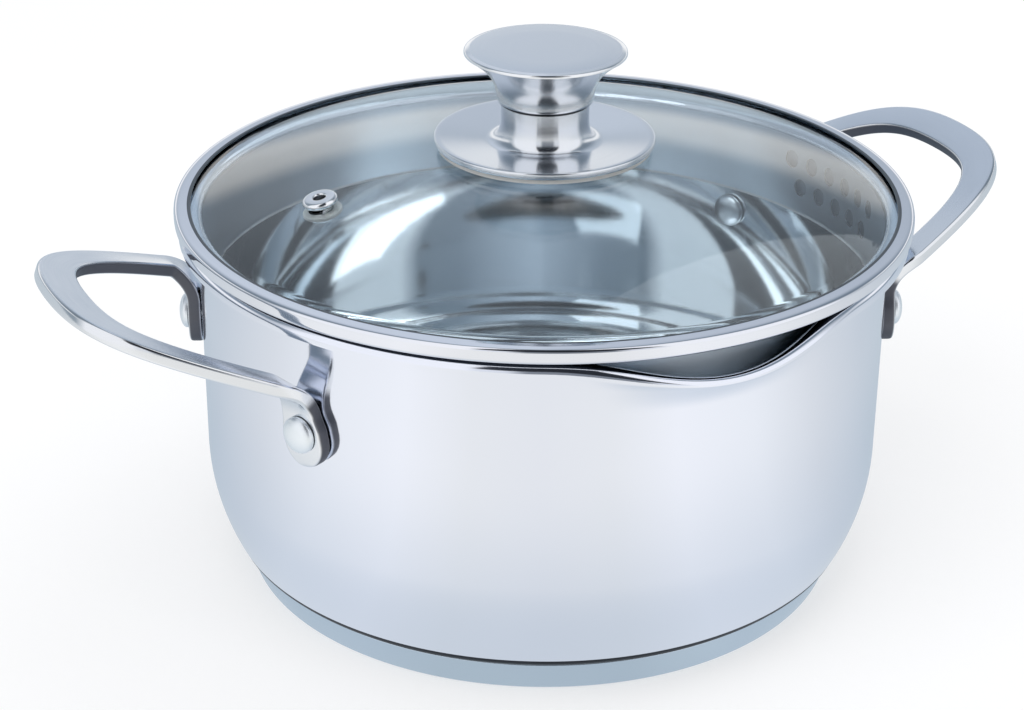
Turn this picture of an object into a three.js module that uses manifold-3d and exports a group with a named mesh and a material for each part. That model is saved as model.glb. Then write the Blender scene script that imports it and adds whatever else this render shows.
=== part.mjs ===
// Stewpot: a stainless steel pot with two pouring spouts, two riveted loop handles and a glass lid
// whose steel skirt is pierced for straining. Millimetres, +Z up. The origin is the middle of the
// base, on the stove, and +X points along one handle.

import * as THREE from 'three';
import { mergeVertices } from 'three/addons/utils/BufferGeometryUtils.js';
import Module from 'manifold-3d';

// Driving dimensions of the whole
const GAP = 0.3;
const ROUND_STEPS = 48;
const KNOB_STEPS = 32;
const SMALL_STEPS = 16;
const RIVET_STEPS = 12;
const HOLE_STEPS = 10;
const BELLY_STEPS = 5;
const DOME_STEPS = 5;
const BEAD_STEPS = 5;
const EDGE_STEPS = 3;
const FOLD_STEPS = 2;
const DRILL_MARGIN = 4 * GAP;

// Pot wall: inside radius, sheet, height to the top of the curled rim, rounded lower wall
const POT_RADIUS = 100;
const POT_SHEET = 0.8;
const POT_HEIGHT = 108.7;
const BELLY_RADIUS = 60.6;
const BELLY_TOP = 38.8;
const FLOOR_RADIUS = 78;
const CURL_RADIUS = 2.8;
const CURL_STEPS = 5;
const CURL_END = THREE.MathUtils.degToRad(-12);

// Pouring spouts: formed out of the rim, one on each side between the handles
const SPOUT_ANGLES = [-90, 90];
const SPOUT_HALF_ANGLE = 27;
const SPOUT_REACH = 4.6;
const SPOUT_DIP = 4.4;
const SPOUT_DEPTH = 19;
const SPOUT_THIN = 0.35;

// Base: a steel cap holding an aluminium core against the floor
const BASE_HEIGHT = 9.5;
const BASE_SEAM = 0.9;
const BASE_TOP_RADIUS = 92.1;
const BASE_FOOT_RADIUS = 89.4;
const BASE_SHEET = 0.6;
const BASE_FILLET = 1.2;
const CORE_THICKNESS = 5.4;
const TUCK_WIDTH = 4.5;
const TUCK_SHARE = 0.3;

// Handles: a flat bar, bent down to a riveted tab at each end
const HANDLE_THICK = 3.9;
const HANDLE_CHAMFER = 0.7;
const HANDLE_REACH = 149.5;
const HANDLE_TILT = THREE.MathUtils.degToRad(21);
const TIP_WIDTH = 11.4;
const ARM_WIDTH = 8.7;
const TAB_WIDTH = 14;
const TAB_END_TURNS = [12, 35, 60, 90];
const TAB_LEAN = THREE.MathUtils.degToRad(12);
const TAB_TAPER = 0.4;
const BEND_FOOT = 5.2;
const BEND_OUT = 8.1;
const BEND_UP = 10.74;
const BEND_SIDE = 3.75;
const BEND_ROUND = 0.55;
const ARM_ANGLE = THREE.MathUtils.degToRad(-15.8);
const ARM_LENGTH = 35.9;
const TIP_SWEEP = 25.65;
const ARM_TAPER = 0.15;
const BEND_STEPS = 4;
const ARM_STEPS = 9;

// Rivets, placed by an angle from the handle's middle and a drop from the rim
const RIVET_ANGLE = THREE.MathUtils.degToRad(24.84);
const RIVET_DROP = 32.9;
const RIVET_EDGE = 9.6;
const RIVET_SHANK = 2.3;
const RIVET_HEAD = 5.2;
const RIVET_DOME = 2.7;
const RIVET_SEAT = 0.65;
const RIVET_RIM = 0.5;

// Lid ring: a steel strip folded round the edge of the glass, with a pierced skirt below
const RING_OVERHANG = 1;
const RING_SHEET = 0.5;
const RING_LIP = 4.9;
const RING_BEND = 1.6;
const SKIRT_CLEARANCE = 1;
const SKIRT_DEPTH = 25.5;
const LID_TURN = -3.7;
const STRAIN_SIDES = [0, 180];
const STRAIN_RADIUS = 2.75;
const STRAIN_PITCH = 5.5;
const STRAIN_ROWS = [
  { drop: 8.5, count: 6 },
  { drop: 16.6, count: 5 },
];

// Lid glass
const GLASS_THICK = 3;
const GLASS_RISE = 16.3;
const DOME_EDGE = 3.2;
const GLASS_HOLE = 4.9;

// Steam vent: an eyelet through the glass, on the side away from one set of strain holes
const VENT_INSET = 31.9;
const VENT_SIDE = 184;
const VENT_BORE = 1.8;
const VENT_TUBE = 2.9;
const VENT_FLANGE = 5;
const VENT_RISE = 2.6;
const VENT_FOOT = 4.4;
const VENT_WASHER = 5.6;
const VENT_WASHER_THICK = 1;
const VENT_RIM = 0.5;

// Knob: a flared grip on a saucer foot, held by a screw through the glass
const SAUCER_RADIUS = 32;
const SAUCER_EDGE = 2;
const SAUCER_DISH = 1.2;
const NECK_RADIUS = 12.8;
const NECK_FLARE = 1;
const NECK_FILLET = 3.5;
const NECK_HEIGHT = 11.8;
const KNOB_SHEET = 1.1;
const GRIP_FOOT = 14.2;
const GRIP_RADIUS = 23.4;
const GRIP_HEIGHT = 15.8;
const GRIP_ROUND = 1.6;
const GRIP_EDGE = 1.2;
const GRIP_FLARE = 2.2;
const GRIP_SHARES = [0, 0.35, 0.6, 0.8, 1];
const GASKET_INNER = 25.5;
const GASKET_OUTER = 31;
const GASKET_THICK = 0.6;
const INSERT_RADIUS = 5.4;
const INSERT_FLANGE = 9;
const INSERT_FLANGE_THICK = 1.5;
const INSERT_LIFT = 3;
const SCREW_RADIUS = 2;
const SCREW_HEAD = 5;
const SCREW_HEAD_HEIGHT = 2.8;
const SCREW_GRIP = 15;
const SCREW_SLOT = 1.3;
const WASHER_RADIUS = 9;
const WASHER_THICK = 1.2;
const GROMMET_FLANGE = 9;
const GROMMET_THICK = 1.2;

// Heights and radii that follow from them
const POT_OUTER = POT_RADIUS + POT_SHEET;
const FLOOR_UNDER = BASE_SHEET + GAP + CORE_THICKNESS + GAP;
const FLOOR_TOP = FLOOR_UNDER + POT_SHEET;
const SHOULDER = BASE_HEIGHT + BASE_SEAM;
const RIVET_HEIGHT = POT_HEIGHT - RIVET_DROP;
const TAB_INNER = POT_OUTER + GAP;
const TAB_OUTER = TAB_INNER + HANDLE_THICK;
const RIM_RADIUS = POT_OUTER + 2 * CURL_RADIUS;
const RING_RADIUS = RIM_RADIUS + RING_OVERHANG;
const RING_UNDER = POT_HEIGHT + GAP;
const SKIRT_OUTER = POT_RADIUS - SKIRT_CLEARANCE;
const BEAD_INNER = GLASS_THICK / 2 + GAP;
const BEAD_OUTER = BEAD_INNER + RING_SHEET;
const BEAD_RADIUS = RING_RADIUS - BEAD_OUTER;
const BEAD_HEIGHT = RING_UNDER + BEAD_OUTER;
const GLASS_TOP = BEAD_HEIGHT + GLASS_THICK / 2;
const DOME_RADIUS = BEAD_RADIUS - DOME_EDGE;
const DOME_SPHERE = (DOME_RADIUS ** 2 + GLASS_RISE ** 2) / (2 * GLASS_RISE);
const CROWN = GLASS_TOP + GLASS_RISE;
const VENT_RADIUS = DOME_RADIUS - VENT_INSET;
const SAUCER_UNDER = domeHeight(GASKET_INNER) + GAP + GASKET_THICK + GAP;
const NECK_TOP = SAUCER_UNDER + NECK_HEIGHT;
const GRIP_UNDER = NECK_TOP + GAP;
const GRIP_TOP = GRIP_UNDER + GRIP_HEIGHT;
const GROMMET_TOP = underDomeHeight(GROMMET_FLANGE) - GAP;
const WASHER_TOP = GROMMET_TOP - GROMMET_THICK - GAP;
const SCREW_SEAT = WASHER_TOP - WASHER_THICK - GAP;

// Materials
const polishedSteel = new THREE.MeshStandardMaterial({ color: 0xd8dde4, roughness: 0.12, metalness: 1 });
const satinSteel = new THREE.MeshStandardMaterial({ color: 0xb3bfcd, roughness: 0.34, metalness: 1 });
const rivetSteel = new THREE.MeshStandardMaterial({ color: 0xdfe7ee, roughness: 0.28, metalness: 1 });
const aluminium = new THREE.MeshStandardMaterial({ color: 0xb9bcc0, roughness: 0.45, metalness: 1 });
const clearGlass = new THREE.MeshStandardMaterial({
  color: 0xe2edf2,
  roughness: 0.04,
  metalness: 0,
  transparent: true,
  opacity: 0.3,
});
const silicone = new THREE.MeshStandardMaterial({ color: 0xdcdcd8, roughness: 0.8, metalness: 0 });

// Height of the glass's upper surface at a distance from the middle.
function domeHeight(radius) {
  return CROWN - DOME_SPHERE + Math.sqrt(DOME_SPHERE ** 2 - radius ** 2);
}

// Height of the glass's lower surface at a distance from the middle.
function underDomeHeight(radius) {
  return CROWN - DOME_SPHERE + Math.sqrt((DOME_SPHERE - GLASS_THICK) ** 2 - radius ** 2);
}

// Points on an arc, as [radius, height] pairs, angles in radians.
function arc(radius, height, size, from, to, steps) {
  const points = [];
  for (let step = 0; step <= steps; step += 1) {
    const angle = from + ((to - from) * step) / steps;
    points.push([radius + size * Math.cos(angle), height + size * Math.sin(angle)]);
  }
  return points;
}

// Welds a geometry's corners, drops its empty triangles and turns its faces outwards.
function welded(geometry) {
  const bare = geometry.clone();
  bare.deleteAttribute('normal');
  bare.deleteAttribute('uv');
  const merged = mergeVertices(bare, 1e-4);
  const place = merged.getAttribute('position');
  const index = merged.getIndex().array;
  const corner = [new THREE.Vector3(), new THREE.Vector3(), new THREE.Vector3()];
  const kept = [];
  let volume = 0;
  for (let first = 0; first < index.length; first += 3) {
    const triangle = [index[first], index[first + 1], index[first + 2]];
    if (new Set(triangle).size === 3) {
      triangle.forEach((vertex, side) => corner[side].fromBufferAttribute(place, vertex));
      volume += corner[0].dot(corner[1].clone().cross(corner[2]));
      kept.push(triangle);
    }
  }
  const facing = volume > 0 ? kept : kept.map(([a, b, c]) => [a, c, b]);
  const closed = new THREE.BufferGeometry();
  closed.setAttribute('position', place);
  closed.setIndex(facing.flat());
  return closed;
}

// Solid of revolution about Z of a [radius, height] outline that closes on itself.
function revolve(outline, steps) {
  const profile = [...outline, outline[0]].map(([radius, height]) => new THREE.Vector2(radius, height));
  return welded(new THREE.LatheGeometry(profile, steps).rotateX(Math.PI / 2));
}

const wasm = await Module();
wasm.setup();

function toSolid(geometry) {
  const closed = welded(geometry);
  const mesh = new wasm.Mesh({
    numProp: 3,
    vertProperties: new Float32Array(closed.getAttribute('position').array),
    triVerts: new Uint32Array(closed.getIndex().array),
  });
  mesh.merge();
  return new wasm.Manifold(mesh);
}

// Cuts every tool out of a geometry.
function cut(geometry, tools) {
  let solid = toSolid(geometry);
  for (const tool of tools) {
    solid = solid.subtract(toSolid(tool));
  }
  const mesh = solid.getMesh();
  const result = new THREE.BufferGeometry();
  result.setAttribute('position', new THREE.BufferAttribute(new Float32Array(mesh.vertProperties), 3));
  result.setIndex([...mesh.triVerts]);
  return welded(result);
}

// Round cutter lying along a radius, from one distance to another, at an angle and a height.
function radialDrill(size, from, to, angle, height) {
  const drill = new THREE.CylinderGeometry(size, size, to - from, HOLE_STEPS);
  drill.rotateZ(Math.PI / 2);
  drill.translate((from + to) / 2, 0, height);
  return drill.rotateZ(angle);
}

// The four rivet places, as angles about Z.
const RIVET_PLACES = {
  rivet_right_front: -RIVET_ANGLE,
  rivet_right_rear: RIVET_ANGLE,
  rivet_left_rear: Math.PI - RIVET_ANGLE,
  rivet_left_front: Math.PI + RIVET_ANGLE,
};

// How strongly a spout forms the rim at an angle in degrees, from 0 to 1.
function spoutShare(angle) {
  let share = 0;
  for (const middle of SPOUT_ANGLES) {
    const away = Math.abs(THREE.MathUtils.euclideanModulo(angle - middle + 180, 360) - 180);
    if (away < SPOUT_HALF_ANGLE) {
      share += Math.cos((away / SPOUT_HALF_ANGLE) * (Math.PI / 2)) ** 2;
    }
  }
  return share;
}

// Outline of the pot's sheet, from the middle of the underside up to the rim and back down inside.
function potOutline() {
  const bellyMiddle = POT_OUTER - BELLY_RADIUS;
  const shoulderAngle = -Math.asin((BELLY_TOP - SHOULDER - POT_SHEET) / BELLY_RADIUS);
  const belly = arc(bellyMiddle, BELLY_TOP, BELLY_RADIUS, shoulderAngle, 0, BELLY_STEPS);
  const innerBelly = arc(bellyMiddle, BELLY_TOP, BELLY_RADIUS - POT_SHEET, 0, shoulderAngle, BELLY_STEPS);
  const shoulderRadius = belly[0][0];
  const tuckEdge = BASE_TOP_RADIUS - BASE_SHEET - GAP;
  const spoutFoot = POT_HEIGHT - SPOUT_DEPTH;
  const spoutMiddle = POT_HEIGHT - SPOUT_DEPTH / 2;
  const curlMiddle = POT_RADIUS + POT_SHEET / 2 + CURL_RADIUS;
  const curlHeight = POT_HEIGHT - POT_SHEET / 2 - CURL_RADIUS;
  const curlUnder = arc(curlMiddle, curlHeight, CURL_RADIUS - POT_SHEET / 2, Math.PI, CURL_END, CURL_STEPS);
  const curlOver = arc(curlMiddle, curlHeight, CURL_RADIUS + POT_SHEET / 2, CURL_END, Math.PI, CURL_STEPS);
  const [heelRadius, heelHeight] = innerBelly.at(-1);
  const heel = new THREE.QuadraticBezierCurve(
    new THREE.Vector2(heelRadius, heelHeight),
    new THREE.Vector2(heelRadius - (heelHeight - FLOOR_TOP) / 2, FLOOR_TOP),
    new THREE.Vector2(FLOOR_RADIUS, FLOOR_TOP),
  );
  const heelPoints = heel.getPoints(EDGE_STEPS).slice(1).map((point) => [point.x, point.y]);
  return [
    [0, FLOOR_UNDER],
    [tuckEdge - TUCK_WIDTH, FLOOR_UNDER],
    [tuckEdge - TUCK_WIDTH * TUCK_SHARE, FLOOR_UNDER + (SHOULDER - FLOOR_UNDER) * TUCK_SHARE],
    [tuckEdge, SHOULDER],
    [shoulderRadius - POT_SHEET, SHOULDER],
    ...belly,
    [POT_OUTER, spoutFoot],
    [POT_OUTER, spoutMiddle],
    ...curlUnder,
    ...curlOver,
    [POT_RADIUS, spoutMiddle],
    [POT_RADIUS, spoutFoot],
    ...innerBelly,
    ...heelPoints,
    [0, FLOOR_TOP],
  ];
}

// The pot: the sheet revolved, drilled for the rivets, its rim pressed out and down at the spouts,
// where the curl is flattened towards its outer foot.
function potBody() {
  const geometry = revolve(potOutline(), ROUND_STEPS);
  const place = geometry.getAttribute('position');
  const spoutFoot = POT_HEIGHT - SPOUT_DEPTH;
  const curlFoot = POT_HEIGHT - 2 * CURL_RADIUS;
  for (let vertex = 0; vertex < place.count; vertex += 1) {
    const angle = Math.atan2(place.getY(vertex), place.getX(vertex));
    const spout = spoutShare(THREE.MathUtils.radToDeg(angle));
    let radius = Math.hypot(place.getX(vertex), place.getY(vertex));
    let height = place.getZ(vertex);
    const share = spout * THREE.MathUtils.smoothstep(height, spoutFoot, POT_HEIGHT);
    if (height > curlFoot) {
      radius = THREE.MathUtils.lerp(radius, RIM_RADIUS, spout * SPOUT_THIN);
      height = THREE.MathUtils.lerp(height, curlFoot, spout * SPOUT_THIN);
    }
    radius += share * SPOUT_REACH;
    height -= share * SPOUT_DIP;
    place.setXYZ(vertex, radius * Math.cos(angle), radius * Math.sin(angle), height);
  }
  const holes = Object.values(RIVET_PLACES).map((angle) =>
    radialDrill(RIVET_SHANK + GAP, POT_RADIUS - DRILL_MARGIN, POT_OUTER + DRILL_MARGIN, angle, RIVET_HEIGHT),
  );
  return cut(geometry, holes);
}

// Cup under the floor, with a rounded foot.
function baseCap() {
  const slope = (BASE_TOP_RADIUS - BASE_FOOT_RADIUS) / (BASE_HEIGHT - BASE_FILLET);
  const side = (height) => BASE_FOOT_RADIUS + slope * (height - BASE_FILLET);
  const inset = BASE_FILLET + BASE_SHEET;
  return revolve(
    [
      [0, 0],
      ...arc(BASE_FOOT_RADIUS - BASE_FILLET, BASE_FILLET, BASE_FILLET, -Math.PI / 2, 0, EDGE_STEPS),
      [BASE_TOP_RADIUS, BASE_HEIGHT],
      [BASE_TOP_RADIUS - BASE_SHEET, BASE_HEIGHT],
      [side(inset) - BASE_SHEET, inset],
      [BASE_FOOT_RADIUS - inset, BASE_SHEET],
      [0, BASE_SHEET],
    ],
    ROUND_STEPS,
  );
}

// Heat-spreading disc between the cap and the floor.
function baseCore() {
  const under = BASE_SHEET + GAP;
  const over = under + CORE_THICKNESS;
  const foot = BASE_FOOT_RADIUS - BASE_FILLET - BASE_SHEET - 2 * GAP;
  const side = BASE_FOOT_RADIUS - BASE_SHEET - 2 * GAP;
  return revolve(
    [
      [0, under],
      [foot, under],
      [side, under + BASE_FILLET],
      [side, over],
      [0, over],
    ],
    ROUND_STEPS,
  );
}

// Half of a handle's bar, from the lower end of its tab to the tip, as cross-sections.
// Each has a middle, a direction across the bar, a direction through it and a width.
function handleHalf() {
  const radial = new THREE.Vector3(Math.cos(RIVET_ANGLE), Math.sin(RIVET_ANGLE), 0);
  const side = new THREE.Vector3(-Math.sin(RIVET_ANGLE), Math.cos(RIVET_ANGLE), 0);
  const upright = new THREE.Vector3(0, 0, 1);
  const loopNormal = new THREE.Vector3(-Math.sin(HANDLE_TILT), 0, Math.cos(HANDLE_TILT));
  const endRadius = TAB_WIDTH / 2;
  const tabUp = upright.clone().addScaledVector(side, -Math.tan(TAB_LEAN));
  const atRivet = radial.clone().multiplyScalar(TAB_INNER + HANDLE_THICK / 2).setZ(RIVET_HEIGHT);
  const onTab = (rise) => atRivet.clone().addScaledVector(tabUp, rise);
  const sections = [];
  const add = (middle, across, along, width) => {
    const through = along.clone().cross(across).normalize();
    sections.push({ middle, across: through.clone().cross(along).normalize(), through, width });
  };

  // Tab: a rounded end, then up to the rivet, leaning towards the handle's middle
  for (const turn of TAB_END_TURNS) {
    const angle = THREE.MathUtils.degToRad(turn);
    add(onTab(endRadius * (1 - Math.cos(angle)) - RIVET_EDGE), side, tabUp, TAB_WIDTH * Math.sin(angle));
  }
  add(atRivet, side, tabUp, TAB_WIDTH);

  // Bend: narrowing, from up along the tab to outwards along the arm, in the slope of the loop
  const outwards = new THREE.Vector3(Math.cos(ARM_ANGLE), Math.sin(ARM_ANGLE), 0);
  outwards.setZ(outwards.x * Math.tan(HANDLE_TILT));
  const tabTop = onTab(BEND_FOOT);
  const armFoot = atRivet.clone().addScaledVector(radial, BEND_OUT).addScaledVector(side, -BEND_SIDE);
  armFoot.z += BEND_FOOT + BEND_UP;
  const bend = new THREE.CubicBezierCurve3(
    tabTop,
    tabTop.clone().addScaledVector(tabUp, BEND_UP * BEND_ROUND),
    armFoot.clone().addScaledVector(outwards, -BEND_OUT * BEND_ROUND),
    armFoot,
  );
  for (let step = 0; step <= BEND_STEPS; step += 1) {
    const share = step / BEND_STEPS;
    const along = bend.getTangent(share);
    const tilted = loopNormal.clone().cross(along).normalize();
    const width = THREE.MathUtils.lerp(TAB_WIDTH, ARM_WIDTH, THREE.MathUtils.lerp(TAB_TAPER, 1, share));
    add(bend.getPoint(share), side.clone().lerp(tilted, share ** 2), along, width);
  }

  // Arm: a curve in the tilted plane of the loop, widening to the tip
  const tip = new THREE.Vector3(HANDLE_REACH - (TIP_WIDTH / 2) * Math.cos(HANDLE_TILT), 0, 0);
  tip.z = armFoot.z + (tip.x - armFoot.x) * Math.tan(HANDLE_TILT);
  const arm = new THREE.CubicBezierCurve3(
    armFoot,
    armFoot.clone().addScaledVector(outwards, ARM_LENGTH),
    tip.clone().setY(TIP_SWEEP),
    tip,
  );
  for (let step = 1; step <= ARM_STEPS; step += 1) {
    const share = step / ARM_STEPS;
    const along = arm.getTangent(share);
    const width = THREE.MathUtils.lerp(ARM_WIDTH, TIP_WIDTH, THREE.MathUtils.smoothstep(share, ARM_TAPER, 1));
    add(arm.getPoint(share), loopNormal.clone().cross(along), along, width);
  }
  return sections;
}

// Skin through the bar's cross-sections, each a rectangle with its edges taken off.
function handleBar() {
  const half = handleHalf();
  const mirror = (vector) => vector.clone().setY(-vector.y);
  const otherHalf = half.slice(0, -1).reverse().map((section) => ({
    middle: mirror(section.middle),
    across: mirror(section.across),
    through: mirror(section.through),
    width: section.width,
  }));
  const sections = [...half, ...otherHalf];
  const positions = [];
  for (const { middle, across, through, width } of sections) {
    const a = width / 2;
    const b = HANDLE_THICK / 2;
    const inA = a - Math.min(HANDLE_CHAMFER, a / 2);
    const inB = b - HANDLE_CHAMFER;
    const outline = [[a, inB], [inA, b], [-inA, b], [-a, inB], [-a, -inB], [-inA, -b], [inA, -b], [a, -inB]];
    for (const [sideways, up] of outline) {
      const point = middle.clone().addScaledVector(across, sideways).addScaledVector(through, up);
      positions.push(point.x, point.y, point.z);
    }
  }
  const around = 8;
  const index = [];
  for (let row = 0; row + 1 < sections.length; row += 1) {
    for (let corner = 0; corner < around; corner += 1) {
      const next = (corner + 1) % around;
      const [a, b] = [row * around + corner, row * around + next];
      const [c, d] = [a + around, b + around];
      index.push(a, b, d, a, d, c);
    }
  }
  const last = (sections.length - 1) * around;
  for (let corner = 1; corner + 1 < around; corner += 1) {
    index.push(0, corner + 1, corner, last, last + corner, last + corner + 1);
  }
  const bar = new THREE.BufferGeometry();
  bar.setAttribute('position', new THREE.Float32BufferAttribute(positions, 3));
  bar.setIndex(index);
  return bar;
}

// One handle, lying along +X, with a hole in each tab.
function handle() {
  const holes = [-RIVET_ANGLE, RIVET_ANGLE].map((angle) =>
    radialDrill(RIVET_SHANK + GAP, TAB_INNER - DRILL_MARGIN, TAB_OUTER + DRILL_MARGIN, angle, RIVET_HEIGHT),
  );
  return cut(handleBar(), holes);
}

// One rivet, lying along +X: a domed head outside the tab, a shank and a domed head inside the wall.
function rivet() {
  const innerSeat = POT_RADIUS - RIVET_SEAT;
  const outerSeat = TAB_OUTER + GAP;
  const rise = RIVET_DOME - RIVET_RIM;
  const dome = (seat, way) => {
    const points = [];
    for (let step = 0; step <= FOLD_STEPS; step += 1) {
      const angle = (step / FOLD_STEPS) * (Math.PI / 2);
      points.push([RIVET_HEAD * Math.cos(angle), seat + way * (RIVET_RIM + rise * Math.sin(angle))]);
    }
    return points;
  };
  const outline = [
    ...dome(innerSeat, -1).reverse(),
    [RIVET_HEAD, innerSeat],
    [RIVET_SHANK, innerSeat],
    [RIVET_SHANK, outerSeat],
    [RIVET_HEAD, outerSeat],
    ...dome(outerSeat, 1),
  ];
  return revolve(outline, RIVET_STEPS).rotateY(Math.PI / 2);
}

// The strip folded round the glass, with its skirt and the strain holes.
function lidRing() {
  const quarter = Math.PI / 2;
  const bendRadius = SKIRT_OUTER + RING_BEND;
  const bendHeight = RING_UNDER - RING_BEND;
  const lipEdge = RING_RADIUS - RING_LIP;
  const beadTop = BEAD_HEIGHT + BEAD_OUTER;
  const skirtFoot = RING_UNDER - SKIRT_DEPTH;
  const strip = revolve(
    [
      [SKIRT_OUTER, skirtFoot],
      ...arc(bendRadius, bendHeight, RING_BEND, Math.PI, quarter, FOLD_STEPS),
      ...arc(BEAD_RADIUS, BEAD_HEIGHT, BEAD_OUTER, -quarter, quarter, BEAD_STEPS),
      [lipEdge, beadTop],
      [lipEdge, beadTop - RING_SHEET],
      ...arc(BEAD_RADIUS, BEAD_HEIGHT, BEAD_INNER, quarter, -quarter, EDGE_STEPS),
      ...arc(bendRadius, bendHeight, RING_BEND + RING_SHEET, quarter, Math.PI, FOLD_STEPS),
      [SKIRT_OUTER - RING_SHEET, skirtFoot],
    ],
    ROUND_STEPS,
  );
  const drills = [];
  for (const side of STRAIN_SIDES) {
    for (const { drop, count } of STRAIN_ROWS) {
      for (let hole = 0; hole < count; hole += 1) {
        const turn = LID_TURN + side + (hole - (count - 1) / 2) * STRAIN_PITCH;
        drills.push(
          radialDrill(
            STRAIN_RADIUS,
            SKIRT_OUTER - RING_SHEET - DRILL_MARGIN,
            SKIRT_OUTER + DRILL_MARGIN,
            THREE.MathUtils.degToRad(turn),
            RING_UNDER - drop,
          ),
        );
      }
    }
  }
  return cut(strip, drills);
}

// Moves a piece made about Z, with the glass's top at height 0, to the vent's place on the dome.
function ventPlace() {
  const group = new THREE.Group();
  const lean = Math.asin(VENT_RADIUS / DOME_SPHERE);
  const turn = THREE.MathUtils.degToRad(LID_TURN + VENT_SIDE);
  group.position.set(
    VENT_RADIUS * Math.cos(turn),
    VENT_RADIUS * Math.sin(turn),
    domeHeight(VENT_RADIUS),
  );
  group.rotation.set(0, lean, turn, 'ZYX');
  group.updateMatrixWorld(true);
  return group;
}

// Domed glass with a rounded edge, a hole for the knob and a hole for the vent.
function lidGlass() {
  const over = [];
  const under = [];
  for (let step = 0; step <= DOME_STEPS; step += 1) {
    const radius = GLASS_HOLE + ((DOME_RADIUS - GLASS_HOLE) * step) / DOME_STEPS;
    over.push([radius, domeHeight(radius)]);
    under.push([radius, radius === DOME_RADIUS ? GLASS_TOP - GLASS_THICK : underDomeHeight(radius)]);
  }
  const edge = arc(BEAD_RADIUS, BEAD_HEIGHT, GLASS_THICK / 2, Math.PI / 2, -Math.PI / 2, EDGE_STEPS);
  const dome = revolve([...over, ...edge, ...under.reverse()], ROUND_STEPS);
  const drill = new THREE.CylinderGeometry(VENT_TUBE + GAP, VENT_TUBE + GAP, 4 * GLASS_THICK, SMALL_STEPS);
  drill.rotateX(Math.PI / 2).applyMatrix4(ventPlace().matrixWorld);
  return cut(dome, [drill]);
}

// Eyelet: a flange over the glass, a tube through it and a foot rolled out below the washer.
function ventEyelet() {
  const foot = -GLASS_THICK - 2 * GAP - VENT_WASHER_THICK;
  return revolve(
    [
      [VENT_BORE, foot - GAP - VENT_RIM],
      [VENT_FOOT - VENT_RIM, foot - GAP - VENT_RIM],
      [VENT_FOOT, foot - GAP],
      [VENT_TUBE, foot - GAP],
      [VENT_TUBE, GAP],
      [VENT_FLANGE, GAP],
      [VENT_FLANGE, GAP + VENT_RIM],
      [VENT_FLANGE - 2 * VENT_RIM, VENT_RISE - VENT_RIM / 2],
      [VENT_FLANGE - 4 * VENT_RIM, VENT_RISE],
      [VENT_BORE + VENT_RIM, VENT_RISE],
      [VENT_BORE, VENT_RISE - VENT_RIM],
    ],
    SMALL_STEPS,
  );
}

function flatRing(inner, outer, under, over, steps) {
  return revolve([[inner, under], [outer, under], [outer, over], [inner, over]], steps);
}

// Flared grip, hollow and open below.
function knobTop() {
  const edgeFoot = GRIP_TOP - GRIP_EDGE;
  const wallFoot = GRIP_UNDER + GRIP_ROUND;
  const flare = (share, inset) => {
    const radius = GRIP_FOOT + (GRIP_RADIUS - GRIP_FOOT) * share ** GRIP_FLARE;
    return [radius - inset, wallFoot + (edgeFoot - wallFoot) * share];
  };
  const wall = GRIP_SHARES.map((share) => flare(share, 0));
  const lining = GRIP_SHARES.slice(0, -1).reverse().map((share) => flare(share, KNOB_SHEET));
  const ceiling = GRIP_TOP - KNOB_SHEET - GAP;
  return revolve(
    [
      ...arc(GRIP_FOOT - GRIP_ROUND, wallFoot, GRIP_ROUND, -Math.PI / 2, -Math.PI / 4, 1),
      ...wall,
      [GRIP_RADIUS, GRIP_TOP - GRIP_EDGE / 2],
      [GRIP_RADIUS - GRIP_EDGE / 2, GRIP_TOP - GAP],
      [0, GRIP_TOP],
      [0, ceiling],
      [lining[0][0], ceiling],
      ...lining,
      [GRIP_FOOT - GRIP_ROUND, wallFoot],
    ],
    KNOB_STEPS,
  );
}

// Saucer foot and neck, one formed sheet with a hole for the insert.
function knobBase() {
  const saucerTop = SAUCER_UNDER + SAUCER_EDGE;
  const filletRadius = NECK_RADIUS + NECK_FLARE + NECK_FILLET;
  const filletHeight = saucerTop - SAUCER_DISH + NECK_FILLET;
  const down = Math.PI * 1.5;
  const fillet = arc(filletRadius, filletHeight, NECK_FILLET, down, Math.PI, EDGE_STEPS);
  const lining = arc(filletRadius, filletHeight, NECK_FILLET + KNOB_SHEET, Math.PI, down, FOLD_STEPS);
  const hole = INSERT_RADIUS + GAP;
  return revolve(
    [
      [SAUCER_RADIUS - SAUCER_EDGE / 4, SAUCER_UNDER],
      [SAUCER_RADIUS, SAUCER_UNDER + SAUCER_EDGE / 4],
      [SAUCER_RADIUS, saucerTop - SAUCER_EDGE / 4],
      [SAUCER_RADIUS - SAUCER_EDGE / 4, saucerTop],
      ...fillet,
      [NECK_RADIUS, NECK_TOP],
      [hole, NECK_TOP],
      [hole, NECK_TOP - KNOB_SHEET],
      [NECK_RADIUS - KNOB_SHEET, NECK_TOP - KNOB_SHEET],
      ...lining,
      [SAUCER_RADIUS - SAUCER_EDGE, saucerTop - KNOB_SHEET],
      [SAUCER_RADIUS - SAUCER_EDGE, SAUCER_UNDER],
    ],
    KNOB_STEPS,
  );
}

// Threaded post fixed inside the grip.
function knobInsert() {
  const top = GRIP_TOP - KNOB_SHEET - 2 * GAP;
  const foot = SAUCER_UNDER + INSERT_LIFT;
  const bore = SCREW_RADIUS + GAP;
  const boreTop = foot + SCREW_GRIP + 2 * GAP;
  return revolve(
    [
      [bore, foot],
      [INSERT_RADIUS, foot],
      [INSERT_RADIUS, top - INSERT_FLANGE_THICK],
      [INSERT_FLANGE, top - INSERT_FLANGE_THICK],
      [INSERT_FLANGE, top],
      [0, top],
      [0, boreTop],
      [bore, boreTop],
    ],
    SMALL_STEPS,
  );
}

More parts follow.
